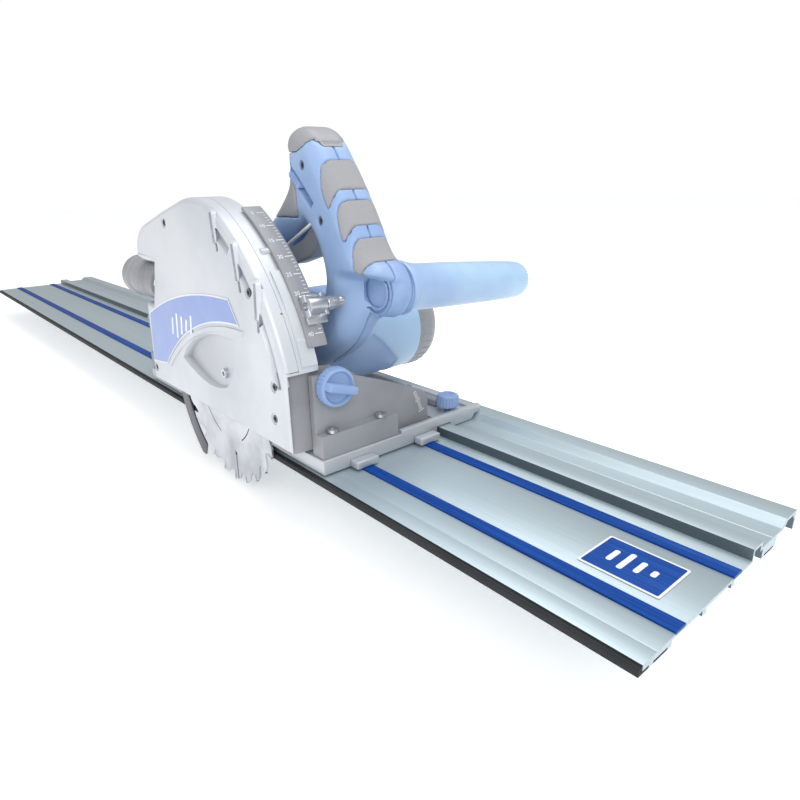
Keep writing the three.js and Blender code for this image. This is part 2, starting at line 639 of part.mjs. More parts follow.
function handleParts() {
  const { left, mid, right, wall } = handle;
  const full = handleSolid(0);
  const skin = handleSolid(2);
  const hollow = handleSolid(wall);
  const barrel = discY(0, motor.z, motor.r + gap, 0, 120, 36);
  const bands = insertBands.map((points) => sideSlab(shapeOf(points), left - 2, right + 2));
  const capRegion = sideSlab(shapeOf(capLine), left - 2, right + 2);
  const inserts = bands.map((band) => cut(full.intersect(band), skin, capRegion));
  const gapSkin = handleSolid(2 + gap);
  const pocketsFor = bands.map((band) => cut(band, gapSkin));
  const triggerSlot = sideSlab(shapeOf([[60, 180], [72, 166], [18, 138], [10, 152]]), mid - 8, mid + 8);
  const slider = sideSlab(shapeOf([[54, 214], [50, 210], [78, 183], [82, 187]]), left - 1, left + wall + 2);
  const roof = sideSlab(shapeOf(capLine.map(([x, z]) => [x, z - 2.5])), left, right);
  const body = cut(full, barrel, ...pocketsFor, capRegion, cut(hollow, roof), triggerSlot);
  const boss = discY(stick.x, stick.z, 9, mid, right + 2, 24);
  const leftShell = cut(body, slider, box(-200, 300, mid - gap / 2, 200, -100, 400));
  const rightShell = cut(body, boss, box(-200, 300, -100, mid + gap / 2, -100, 400));
  const insetCap = sideSlab(shapeOf(capLine.map(([x, z]) => [x, z + gap])), left - 2, right + 2);
  const inletBore = discX(mid, inlet.z, inlet.r + 0.4, 0, 54, 20);
  return {
    leftShell: largest(leftShell),
    rightShell: largest(rightShell),
    inserts: inserts.map(largest),
    cap: cut(full.intersect(insetCap), inletBore),
  };
}

function cordGrommet() {
  return cut(discX(handle.mid, inlet.z, inlet.r, 46.5, 53.5, 20), discX(handle.mid, inlet.z, 4, 40, 60, 20));
}

function trigger() {
  const outline = [
    [63, 168], [66, 158], [58, 148], [44, 143], [26, 139], [19, 145], [24, 151], [46, 160], [58, 169],
  ];
  return sideSlab(shapeOf(outline), handle.mid - 7.4, handle.mid + 7.4);
}

function lockOffSlider() {
  const tab = [[56, 209.5], [54, 207.5], [66, 196], [68, 198]];
  return sideSlab(shapeOf(tab), handle.left - 1.6, handle.left + 5);
}

function powerSwitch() {
  return sideSlab(shapeOf([[58, 190], [68, 180], [46, 168], [38, 178]]), handle.mid - 8, handle.mid + 8);
}

function stickHandle() {
  const { x, y, z, rootR, endR, length, droop } = stick;
  const profile = [
    [0, -16], [8.4, -16], [8.4, 0], [rootR, 0], [rootR, 9], [rootR - 2, 14], [rootR - 2.4, 40],
    [rootR - 4.5, 90], [endR + 0.6, length - 10], [endR - 1.6, length - 4], [endR - 6, length], [0, length],
  ];
  const grip = new THREE.LatheGeometry(profile.map(([r, h]) => new THREE.Vector2(r, h)), 24);
  const solid = toSolid(grip);
  const turned = new THREE.Matrix4().makeRotationX(-THREE.MathUtils.degToRad(droop));
  turned.setPosition(x, y, z);
  const placed = toGeometry(solid).applyMatrix4(turned);
  return cut(toSolid(placed), box(90, 160, 40, y - 0.1, 100, 160))
    .add(discY(x, z, 8.2, handle.mid + 4, y + 2, 20));
}

function plungePin() {
  const { x, z, r } = pivot;
  const y = cover.right;
  return turnedY([[0, y - 9], [r, y - 9], [r, 39], [9, 39], [9, 41.4], [0, 41.4]], x, z, 24);
}

// A torsion spring: a helix around the pivot pin.
class Helix extends THREE.Curve {
  getPoint(t, target = new THREE.Vector3()) {
    const turn = t * Math.PI * 6;
    return target.set(pivot.x + 8.6 * Math.cos(turn), 27.4 + 9.6 * t, pivot.z + 8.6 * Math.sin(turn));
  }
}

function returnSpring() {
  const wire = shapeOf(arcPoints(0, 0, 0.9, 0, 300, 5));
  const coil = { steps: 40, bevelEnabled: false, extrudePath: new Helix() };
  return toSolid(new THREE.ExtrudeGeometry(wire, coil));
}

// ---- assembly ----
function sawParts() {
  const body = new THREE.Group();
  const add = (name, solid, material) => body.add(mesh(name, solid, material));
  add('base_plate', basePlate(), castSilver);
  add('glide_shoe_left', glideShoe(24, 44), castSilver);
  add('glide_shoe_right', glideShoe(86, 106), castSilver);
  add('fit_knob', fitKnob(), blue);
  add('fit_lever', box(88, 106, 134, 142, base.top + gap, base.top + 6), black);
  add('front_bevel_bracket', bevelBracket(frontPlate, 5, base.front - 2), black);
  add('rear_bevel_bracket', bevelBracket(rearPlate, 4.7, rearPlate - 9), black);
  const frontScrew = (frontPlate + 4 + base.front - 2) / 2 + 1.2;
  const rearScrew = (rearPlate - 9 + rearPlate + 1) / 2 - 1.2;
  [['front', frontScrew], ['rear', rearScrew]].forEach(([end, x]) => {
    add(`${end}_bracket_screw_left`, bracketScrew(x, 14), steel);
    add(`${end}_bracket_screw_right`, bracketScrew(x, 58), steel);
  });
  add('front_bevel_knob', bevelKnob(1, frontPlate + 5 + gap, 110.4), blue);
  add('rear_bevel_knob', bevelKnob(-1, rearPlate - gap, -173.4), blue);
  add('front_tilt_block', frontTiltBlock(), black);
  add('rear_tilt_segment', rearTiltSegment(), black);
  add('cover_outer', coverOuter(), coverSilver);
  add('cover_inner', coverInner(), coverSilver);
  add('cover_label', coverLabel(), stripBlue);
  add('dust_port', dustPort(), black);
  add('depth_scale', depthScale(), black);
  add('depth_stop', depthStop(), steel);
  add('depth_stop_screw', depthStopScrew(), steel);
  coverScrews.forEach(([across, up], i) => {
    const end = i < 2 ? -6 : cover.right - 3.6;
    add(`cover_screw_${i + 1}`, discY(across, up, 2.6, cover.left + 0.6, end, 14), darkSteel);
  });
  const { x, z, r } = scoopBolt;
  add('scoop_bolt', discY(x, z, r, cover.left + 1.6, cover.left + 6.4, 14), steel);
  add('plunge_pin', plungePin(), steel);
  add('return_spring', returnSpring(), darkSteel);
  add('gear_housing', gearHousing(), darkSteel);
  add('spindle_lock', spindleLock(), black);
  add('motor_housing', motorHousing(), blue);
  add('motor_end_cap', motorEndCap(), black);
  add('stator', stator(), copper);
  add('rotor', rotor(), copper);
  add('spindle', spindle(), steel);
  add('drive_gear', gearDisc(gears.spindle, 90 + 180 / gears.spindle, 0, blade.z, 6.7), steel);
  add('inner_flange', innerFlange(), steel);
  add('blade', bladeDisc(), steel);
  add('arbor_bolt', arborBolt(), darkSteel);
  add('riving_knife', rivingKnife(), darkSteel);
  const shells = handleParts();
  add('handle_left_shell', shells.leftShell, blue);
  add('handle_right_shell', shells.rightShell, blue);
  shells.inserts.forEach((insert, i) => add(`grip_insert_${i + 1}`, insert, rubber));
  add('handle_cap', shells.cap, black);
  add('cord_grommet', cordGrommet(), rubber);
  add('trigger', trigger(), black);
  add('lock_off_slider', lockOffSlider(), blue);
  add('power_switch', powerSwitch(), black);
  add('stick_handle', stickHandle(), blue);
  return body;
}

const plungeSaw = new THREE.Group();
plungeSaw.add(trackParts());
const carriage = sawParts();
carriage.position.x = saw.x;
plungeSaw.add(carriage);

export default plungeSaw;
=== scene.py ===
import math
import bmesh
import bpy
import numpy as np
from mathutils import Matrix, Vector


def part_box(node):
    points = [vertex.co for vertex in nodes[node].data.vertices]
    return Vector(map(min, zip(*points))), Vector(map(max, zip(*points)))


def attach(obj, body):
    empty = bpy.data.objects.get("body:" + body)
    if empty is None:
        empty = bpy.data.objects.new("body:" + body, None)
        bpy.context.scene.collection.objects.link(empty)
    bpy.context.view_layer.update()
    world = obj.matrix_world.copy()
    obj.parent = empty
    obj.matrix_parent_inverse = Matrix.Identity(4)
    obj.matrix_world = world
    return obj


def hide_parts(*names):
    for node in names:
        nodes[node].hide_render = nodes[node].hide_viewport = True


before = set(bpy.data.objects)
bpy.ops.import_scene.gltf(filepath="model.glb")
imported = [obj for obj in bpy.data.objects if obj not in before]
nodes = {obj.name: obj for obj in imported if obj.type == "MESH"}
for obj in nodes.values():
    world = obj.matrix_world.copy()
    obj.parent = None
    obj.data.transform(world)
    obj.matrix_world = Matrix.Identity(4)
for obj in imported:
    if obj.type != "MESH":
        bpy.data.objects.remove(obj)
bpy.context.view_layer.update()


def boxCentre(node):
    low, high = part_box(node)
    return (low + high) / 2


sawX = boxCentre("motor_housing").x  # the saw's own zero along the track, at the blade
bladeHigh = boxCentre("blade").z
motorHigh = boxCentre("motor_housing").z
print("frame loaded, saw at", round(sawX, 4))


# node trees
class Wire:  # an output socket that can be added, scaled and compared
    def __init__(self, graph, socket):
        self.graph, self.socket = graph, socket

    def math(self, operation, *others):
        return self.graph.node("ShaderNodeMath", {"operation": operation}, [self, *others])

    def __add__(self, other):
        return self.math("ADD", other)

    __radd__ = __add__

    def __mul__(self, other):
        return self.math("MULTIPLY", other)

    __rmul__ = __mul__

    def __sub__(self, other):
        return self.math("SUBTRACT", other)

    def __rsub__(self, other):
        return self.graph.node("ShaderNodeMath", {"operation": "SUBTRACT"}, [other, self])

    def between(self, low, high):  # 0 below low, 1 above high, smooth between
        return self.graph.node("ShaderNodeMapRange", {"interpolation_type": "SMOOTHSTEP"},
                               {"Value": self, "From Min": low, "From Max": high})


class Graph:
    def __init__(self, tree):
        self.tree = tree

    def node(self, kind, settings=None, inputs=None, output=0):
        made = self.tree.nodes.new(kind)
        for key, value in (settings or {}).items():
            if key == "stops":
                for element, (at, colour) in zip(made.color_ramp.elements, value):
                    element.position, element.color = at, colour
            else:
                setattr(made, key, value)
        pairs = inputs.items() if isinstance(inputs, dict) else enumerate(inputs or [])
        for key, value in pairs:
            socket = made.inputs[key]
            if isinstance(value, Wire):
                self.tree.links.new(value.socket, socket)
            else:
                socket.default_value = value
        return Wire(self, made.outputs[output]) if len(made.outputs) else made

    def vector(self, *parts):
        return self.node("ShaderNodeCombineXYZ", {}, parts)

    def cylinder(self, vertices, radius, depth):
        return self.node("GeometryNodeMeshCylinder", {}, {"Vertices": vertices, "Radius": radius,
                                                          "Depth": depth}, "Mesh")


def linear(r, g, b):
    def channel(v):
        v = v / 255
        return v / 12.92 if v <= 0.04045 else ((v + 0.055) / 1.055) ** 2.4
    return (channel(r), channel(g), channel(b), 1.0)


class Finish(Graph):
    def __init__(self, name):
        self.material = bpy.data.materials.new(name)
        self.material.use_nodes = True
        super().__init__(self.material.node_tree)
        self.tree.nodes.clear()
        self.place = self.node("ShaderNodeTexCoord", output="Object")

    def stretched(self, x, y, z, turn=0.0):
        return self.node("ShaderNodeMapping", {}, {"Vector": self.place, "Scale": (x, y, z),
                                                   "Rotation": (0, turn, 0)})

    def noise(self, scale, detail=4.0, rough=0.55, vector=None):
        return self.node("ShaderNodeTexNoise", {}, {"Vector": vector or self.place, "Scale": scale,
                                                    "Detail": detail, "Roughness": rough}, "Fac")

    def mixed(self, amount, first, second, blend="MIX"):
        return self.node("ShaderNodeMix", {"data_type": "RGBA", "blend_type": blend},
                         {0: amount, 6: first, 7: second}, 2)

    def radiusFrom(self, centre):  # distance from an axis that runs across the track
        spot = self.node("ShaderNodeVectorMath", {"operation": "SUBTRACT"}, [self.place, centre])
        flat = self.node("ShaderNodeVectorMath", {"operation": "MULTIPLY"}, [spot, (1, 0, 1)])
        return self.node("ShaderNodeVectorMath", {"operation": "LENGTH"}, [flat], "Value")

    def bump(self, height, strength, distance, normal=None):
        inputs = {"Height": height, "Strength": strength, "Distance": distance}
        if normal:
            inputs["Normal"] = normal
        return self.node("ShaderNodeBump", {}, inputs)

    def surface(self, **inputs):
        names = {key.replace("_", " "): value for key, value in inputs.items()}
        shader = self.node("ShaderNodeBsdfPrincipled", {}, names)
        self.node("ShaderNodeOutputMaterial", {}, [shader])
        return self.material


# finishes
tones = {
    "blue": linear(150, 176, 213), "blueDeep": linear(132, 159, 204), "blueLight": linear(170, 203, 229),
    "black": linear(150, 152, 157), "blackDeep": linear(132, 134, 139), "rubber": linear(152, 153, 157),
    "guard": linear(22, 24, 28), "guardWorn": linear(40, 42, 46),
    "cover": linear(208, 212, 217), "coverShade": linear(188, 193, 200), "cast": linear(198, 202, 207),
    "label": linear(132, 154, 208), "white": linear(236, 238, 241),
    # the last rail tone is painted shade for the rail's walls facing -y
    "rail": linear(186, 200, 206), "railDark": linear(158, 174, 182), "railPaintedShade": linear(62, 76, 84),
    "strip": linear(6, 74, 158), "stripDeep": linear(3, 56, 134),
    "steel": linear(204, 207, 212), "steelStain": linear(168, 171, 177),
    "darkSteel": linear(104, 106, 112), "copper": linear(156, 104, 70),
}


def mouldedPlastic(name, base, deep, rough, grain=0.05):
    f = Finish(name)
    cloud = f.noise(14, 3)
    speck = f.noise(2600, 2)
    scuff = f.noise(260, 5, 0.7, f.stretched(1, 1, 4)).between(0.62, 0.74)
    colour = f.mixed(cloud.between(0.35, 0.7), tones[base], tones[deep])
    colour = f.mixed(scuff * 0.12, colour, tones["white"])
    normal = f.bump(speck, grain, 0.0004)
    normal = f.bump(f.noise(90, 2), 0.05, 0.0012, normal)
    return f.surface(Base_Color=colour, Roughness=rough + 0.16 * cloud + 0.1 * scuff - 0.05 * speck,
                     Normal=normal, Coat_Weight=0.08)


def softGrip(name, base, deep):
    f = Finish(name)
    cells = f.node("ShaderNodeTexVoronoi", {}, {"Vector": f.place, "Scale": 620.0}, "Distance")
    cloud = f.noise(24, 4)
    colour = f.mixed(cloud.between(0.3, 0.75), tones[base], tones[deep])
    return f.surface(Base_Color=colour, Roughness=0.72 + 0.14 * cloud,
                     Normal=f.bump(cells, 0.35, 0.0006))


def paintedCast(name, base, shade, metal, rough, paintedRecessShade=None):
    f = Finish(name)
    peel = f.noise(900, 3)
    cloud = f.noise(9, 4)
    wear = f.noise(120, 6, 0.75).between(0.64, 0.72)
    colour = f.mixed(cloud.between(0.3, 0.75), tones[base], tones[shade])
    colour = f.mixed(wear * 0.25, colour, tones["steel"])
    if paintedRecessShade:  # painted shade: the colour is darkened towards black down in the recesses, away from the rim
        depth = f.node("ShaderNodeSeparateXYZ", {}, [f.place], "Y").between(paintedRecessShade["face"], paintedRecessShade["floor"])
        inward = 1.0 - f.radiusFrom(paintedRecessShade["centre"]).between(0.156, 0.158)
        colour = f.mixed(depth * inward * 0.55, colour, tones["black"])
    return f.surface(Base_Color=colour, Metallic=metal + 0.25 * wear, Roughness=rough + 0.14 * cloud,
                     Normal=f.bump(peel, 0.07, 0.0005), Coat_Weight=0.12)


def drawnAluminium(name, base, shade):
    f = Finish(name)
    streak = f.noise(900, 3, 0.6, f.stretched(0.012, 1, 1))
    broad = f.noise(40, 3, 0.5, f.stretched(0.05, 1, 1))
    handling = f.noise(8, 5, 0.65)
    scratch = f.noise(420, 6, 0.8, f.stretched(0.05, 1, 1)).between(0.66, 0.7)
    colour = f.mixed(streak * 0.5 + broad * 0.5, tones[base], tones[shade])
    colour = f.mixed(scratch * 0.3, colour, tones["white"])
    facing = f.node("ShaderNodeNewGeometry", {}, {}, "Normal")
    shadedWall = 0.0 - f.node("ShaderNodeSeparateXYZ", {}, [facing], "Y")
    colour = f.mixed(shadedWall.between(0.6, 0.9) * 0.85, colour, tones["railPaintedShade"])  # painted shade: upright walls facing -y are darkened towards a dark tone
    return f.surface(Base_Color=colour, Metallic=0.6,
                     Roughness=0.3 + 0.16 * streak + 0.1 * handling,
                     Normal=f.bump(streak + scratch * 0.4, 0.1, 0.0003))


def machinedSteel(name, base, rough, metal=0.9, axis=None):
    f = Finish(name)
    if axis:  # turning marks run round the part's own axis
        marks = (f.radiusFrom(axis) * 9000).math("SINE") * 0.5 + 0.5
    else:
        marks = f.noise(800, 3, 0.6, f.stretched(1, 0.1, 1))
    stain = f.noise(30, 5)
    if base == "steel":
        colour = f.mixed(stain.between(0.35, 0.75), tones["steel"], tones["steelStain"])
    else:
        colour = f.mixed(stain * 0.3, tones[base], tones["black"])
    return f.surface(Base_Color=colour, Metallic=metal, Roughness=rough + 0.1 * stain + 0.05 * marks,
                     Normal=f.bump(marks, 0.06, 0.0002))


def printedLabel(name):
    f = Finish(name)
    cloud = f.noise(60, 3)
    colour = f.mixed(cloud * 0.14, tones["label"], tones["strip"])
    return f.surface(Base_Color=colour, Roughness=0.3 + 0.15 * cloud, Coat_Weight=0.3,
                     Normal=f.bump(f.noise(1500, 2), 0.03, 0.0003))


def glideStrip(name):
    f = Finish(name)
    streak = f.noise(700, 3, 0.6, f.stretched(0.02, 1, 1))
    wear = f.noise(50, 5, 0.7, f.stretched(0.06, 1, 1)).between(0.58, 0.76)
    colour = f.mixed(streak.between(0.3, 0.7), tones["strip"], tones["stripDeep"])
    colour = f.mixed(wear * 0.12, colour, tones["blueLight"])
    return f.surface(Base_Color=colour, Roughness=0.42 + 0.2 * streak, Specular_IOR_Level=0.2,
                     Normal=f.bump(streak, 0.12, 0.0003))


bluePlastic = mouldedPlastic("blueMoulded", "blue", "blueDeep", 0.4)
bluePanel = mouldedPlastic("blueGloss", "blueLight", "blue", 0.28, 0.02)
blackPlastic = mouldedPlastic("blackMoulded", "black", "blackDeep", 0.48, 0.08)
gripRubber = softGrip("gripRubber", "rubber", "black")
edgeRubber = softGrip("edgeRubber", "guard", "guardWorn")
coverPaint = paintedCast("coverSilver", "cover", "coverShade", 0.25, 0.36)
# the outer shell's finish carries painted shade in its recesses
outerPaint = paintedCast("coverSilverOuter", "cover", "coverShade", 0.25, 0.36,
                         {"face": -0.0148, "floor": -0.0105, "centre": (sawX - 0.04, 0, 0.038)})
baseCast = paintedCast("castSilver", "cast", "coverShade", 0.5, 0.42)
housingCast = paintedCast("housingGrey", "black", "darkSteel", 0.4, 0.5)
railMetal = drawnAluminium("drawnAluminium", "rail", "railDark")
whitePaint = paintedCast("whitePrint", "white", "cover", 0.0, 0.4)
labelPrint = printedLabel("labelBlue")
stripPlastic = glideStrip("glideBlue")
brightSteel = machinedSteel("brightSteel", "steel", 0.26)
bladeSteel = machinedSteel("bladeSteel", "steel", 0.24, axis=(sawX, 0, bladeHigh))
darkSteel = machinedSteel("darkSteel", "darkSteel", 0.4, 0.8)
copperWire = machinedSteel("windings", "copper", 0.4, 0.7)
print("finishes made")


# making meshes, in millimetres from the saw's zero
def toFrame(point, shift):
    return Vector((point[0] / 1000 + shift, point[1] / 1000, point[2] / 1000))


def linked(name, data):
    made = bpy.data.objects.new(name, data)
    bpy.context.scene.collection.objects.link(made)
    return made


def newPiece(name, points, faces, shift=None):
    data = bpy.data.meshes.new(name)
    data.from_pydata([toFrame(p, sawX if shift is None else shift) for p in points], [], faces)
    data.update()
    return linked(name, data)


def outwards(piece):
    work = bmesh.new()
    work.from_mesh(piece.data)
    bmesh.ops.remove_doubles(work, verts=work.verts, dist=2e-6)
    bmesh.ops.recalc_face_normals(work, faces=work.faces)
    work.to_mesh(piece.data)
    work.free()
    return piece


def settled(piece):  # the modifiers worked in, and the object left plain
    graph = bpy.context.evaluated_depsgraph_get()
    data = bpy.data.meshes.new_from_object(piece.evaluated_get(graph))
    piece.modifiers.clear()
    old, piece.data = piece.data, data
    bpy.data.meshes.remove(old)
    return piece


def between(first, second, name="tool", shift=None):  # a closed shape between two outlines of equal length
    n = len(first)
    sides = [(i, (i + 1) % n, n + (i + 1) % n, n + i) for i in range(n)]
    ends = [tuple(range(n))[::-1], tuple(range(n, 2 * n))]
    return outwards(newPiece(name, first + second, ends + sides, shift))


def prism(points, y0, y1, name="tool"):
    return between([(a, y0, b) for a, b in points], [(a, y1, b) for a, b in points], name)


def crossPrism(points, x0, x1, name="tool", shift=None):  # a profile in (y, z) run along the track
    return between([(x0, a, b) for a, b in points], [(x1, a, b) for a, b in points], name, shift)


def block(x0, x1, y0, y1, z0, z1, name="tool"):
    return prism([(x0, z0), (x1, z0), (x1, z1), (x0, z1)], y0, y1, name)


def turned(profile, x, z, name="tool", steps=96, axis="y", y=0.0):
    points, faces = [], []
    count = len(profile)
    for i in range(steps):
        a = 2 * math.pi * i / steps
        for r, h in profile:
            c, s = r * math.cos(a), r * math.sin(a)
            points.append({"y": (x + c, h, z + s), "x": (h, y + c, z + s), "z": (x + c, y + s, h)}[axis])
    for i in range(steps):
        j = (i + 1) % steps
        for k in range(count):
            m = (k + 1) % count
            faces.append((i * count + k, j * count + k, j * count + m, i * count + m))
    return outwards(cleaned(newPiece(name, points, faces)))


def cleaned(piece):
    work = bmesh.new()
    work.from_mesh(piece.data)
    bmesh.ops.remove_doubles(work, verts=work.verts, dist=2e-6)
    bmesh.ops.dissolve_degenerate(work, edges=work.edges, dist=1e-6)
    work.to_mesh(piece.data)
    work.free()
    return piece


def drum(x, z, r, y0, y1, name="tool", steps=48, axis="y", y=0.0):
    return turned([(0, y0), (r, y0), (r, y1), (0, y1)], x, z, name, steps, axis, y)


def combine(piece, tools, operation):
    for tool in tools:
        step = piece.modifiers.new("step", "BOOLEAN")
        step.operation, step.object, step.solver = operation, tool, "EXACT"
    settled(piece)
    for tool in tools:
        bpy.data.objects.remove(tool)
    return piece


def cut(piece, *tools):
    return combine(piece, tools, "DIFFERENCE")


def join(piece, *tools):
    return combine(piece, tools, "UNION")


def softened(piece, width, segments=2, angle=38):
    rim = piece.modifiers.new("rim", "BEVEL")
    rim.width, rim.segments, rim.limit_method = width / 1000, segments, "ANGLE"
    rim.angle_limit, rim.use_clamp_overlap = math.radians(angle), True
    return settled(piece)


def merged(name, shown):
    work = bmesh.new()
    for piece in shown:
        work.from_mesh(piece.data)
    data = bpy.data.meshes.new(name)
    work.to_mesh(data)
    work.free()
    for piece in shown:
        bpy.data.objects.remove(piece)
    return linked(name, data)


def finished(piece, body, finish, stands=(), angle=32, name=None):
    if name:
        piece.name = piece.data.name = name
    piece.data.materials.clear()
    piece.data.materials.append(finish)
    piece.data.polygons.foreach_set("use_smooth", [True] * len(piece.data.polygons))
    piece.data.set_sharp_from_angle(angle=math.radians(angle))
    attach(piece, body)
    if stands:
        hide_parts(*stands)
    return piece


def weighted(piece):  # broad faces keep their own normals beside rounded rims
    even = piece.modifiers.new("even", "WEIGHTED_NORMAL")
    even.keep_sharp = True
    return settled(piece)


def refined(node, width, finish, body, segments=2, angle=38):  # a CAD shape with its edges eased
    work = bmesh.new()
    work.from_mesh(nodes[node].data)
    bmesh.ops.remove_doubles(work, verts=work.verts, dist=1e-6)
    bmesh.ops.dissolve_limit(work, angle_limit=math.radians(1.0), verts=work.verts, edges=work.edges)
    data = bpy.data.meshes.new(node + "_eased")
    work.to_mesh(data)
    work.free()
    piece = linked(node + "_eased", data)
    if width:
        softened(piece, width, segments, angle)
    return finished(piece, body, finish, [node], 30)


def polar(x, z, r, degrees):
    a = math.radians(degrees)
    return (x + r * math.cos(a), z + r * math.sin(a))


def arc(x, z, r, start, end, steps):
    return [polar(x, z, r, start + (end - start) * i / steps) for i in range(steps + 1)]


def band(x, z, inner, outer, start, end, steps=24):
    return arc(x, z, outer, start, end, steps) + arc(x, z, inner, end, start, steps)


def capsule(a, b, r, steps=8):  # a flat bar with round ends, from a to b
    turn = math.degrees(math.atan2(b[1] - a[1], b[0] - a[0]))
    return arc(*b, r, turn - 90, turn + 90, steps) + arc(*a, r, turn + 90, turn + 270, steps)


def curveThrough(points, count, closed=True):
    p = np.array(points, float)
    n = len(p)
    out = []
    spans = n if closed else n - 1
    for i in range(spans):
        quad = [p[(i + k) % n] if closed else p[min(max(i + k, 0), n - 1)] for k in (-1, 0, 1, 2)]
        for t in np.linspace(0, 1, count, endpoint=False):
            a, b, c, d = quad
            out.append(tuple(0.5 * (2 * b + (c - a) * t + (2 * a - 5 * b + 4 * c - d) * t ** 2
                                    + (3 * b - a - 3 * c + d) * t ** 3)))
    return out if closed else out + [tuple(p[-1])]


# smooth bodies from a distance field
def outlineDistance(points, x, z):  # below zero inside the outline
    p = np.array(points, float)
    q = np.roll(p, -1, axis=0)
    best = np.full(x.shape, 1e9)
    inside = np.zeros(x.shape, bool)
    for (ax, az), (bx, bz) in zip(p, q):
        ex, ez = bx - ax, bz - az
        t = np.clip(((x - ax) * ex + (z - az) * ez) / (ex * ex + ez * ez + 1e-12), 0, 1)
        best = np.minimum(best, (x - ax - t * ex) ** 2 + (z - az - t * ez) ** 2)
        crosses = (az > z) != (bz > z)
        inside ^= crosses & (x < ex * (z - az) / (ez if abs(ez) > 1e-12 else 1e-12) + ax)
    return np.where(inside, -1, 1) * np.sqrt(best)


def eased(t):  # 0 to 1, level at both ends
    t = np.clip(t, 0, 1)
    return t * t * (3 - 2 * t)


def rounded(flat, across, r):  # a rounded slab from a flat distance and a distance across
    a, b = flat + r, across + r
    return np.minimum(np.maximum(a, b), 0) + np.hypot(np.maximum(a, 0), np.maximum(b, 0)) - r


def skinOf(field, low, step, name):  # surface nets over a field sampled on a grid
    inside = field < 0
    cells = tuple(n - 1 for n in field.shape)
    corners = [(i, j, k) for i in (0, 1) for j in (0, 1) for k in (0, 1)]
    view = {c: field[c[0]:c[0] + cells[0], c[1]:c[1] + cells[1], c[2]:c[2] + cells[2]] for c in corners}
    total, weight = np.zeros(cells + (3,)), np.zeros(cells)
    for a in corners:
        for axis in range(3):
            if a[axis]:
                continue
            b = tuple(1 if k == axis else a[k] for k in range(3))
            fa, fb = view[a], view[b]
            crossing = (fa < 0) != (fb < 0)
            t = np.where(crossing, fa / np.where(crossing, fa - fb, 1), 0)
            for k in range(3):
                total[..., k] += np.where(crossing, a[k] + (t if k == axis else 0), 0)
            weight += crossing
    used = weight > 0
    number = np.full(cells, -1)
    number[used] = np.arange(used.sum())
    where = np.argwhere(used) + total[used] / weight[used][:, None]
    points = where * step + np.array(low)
    faces = []
    for axis in range(3):
        u, v = (axis + 1) % 3, (axis + 2) % 3
        first = [slice(1, n - 1) for n in field.shape]
        first[axis] = slice(0, field.shape[axis] - 1)
        second = list(first)
        second[axis] = slice(1, field.shape[axis])
        change = inside[tuple(first)] != inside[tuple(second)]
        at = np.argwhere(change) + 1
        at[:, axis] -= 1
        flip = ~inside[tuple(first)][change]
        quad = []
        for du, dv in ((1, 1), (0, 1), (0, 0), (1, 0)):
            spot = at.copy()
            spot[:, u] -= du
            spot[:, v] -= dv
            quad.append(number[tuple(spot.T)])
        quad = np.stack(quad, 1)
        quad[flip] = quad[flip][:, ::-1]
        faces.append(quad)
    return newPiece(name, points.tolist(), np.concatenate(faces).tolist())


def grid(low, high, step):
    return np.meshgrid(*[np.arange(a, b + step, step) for a, b in zip(low, high)], indexing="ij")


print("tools ready")


# growing what repeats
def plantTree(name, sizes):
    tree = bpy.data.node_groups.new(name, "GeometryNodeTree")
    tree.interface.new_socket("Geometry", in_out="INPUT", socket_type="NodeSocketGeometry")
    for label, value in sizes.items():
        kind = "NodeSocketInt" if isinstance(value, int) else "NodeSocketFloat"
        tree.interface.new_socket(label, in_out="INPUT", socket_type=kind).default_value = value
    tree.interface.new_socket("Geometry", in_out="OUTPUT", socket_type="NodeSocketGeometry")
    graph = Graph(tree)
    entry = tree.nodes.new("NodeGroupInput")
    return graph, {s.name: Wire(graph, s) for s in entry.outputs if s.name}


def harvest(graph, shape, finish, name, sizes, points=((0, 0, 0),), aims=None, shift=0.0):
    real = graph.node("GeometryNodeRealizeInstances", {}, {"Geometry": shape})
    painted = graph.node("GeometryNodeSetMaterial", {}, {"Geometry": real, "Material": finish})
    graph.node("NodeGroupOutput", {}, [painted])
    piece = newPiece(name, points, [], shift)
    if aims:
        aim = piece.data.attributes.new("aim", "FLOAT_VECTOR", "POINT")
        aim.data.foreach_set("vector", [v for a in aims for v in a])
    grown = piece.modifiers.new("grown", "NODES")
    grown.node_group = graph.tree
    for item in graph.tree.interface.items_tree:
        if item.in_out == "INPUT" and item.name in sizes:
            grown[item.identifier] = sizes[item.name]
    return settled(piece)


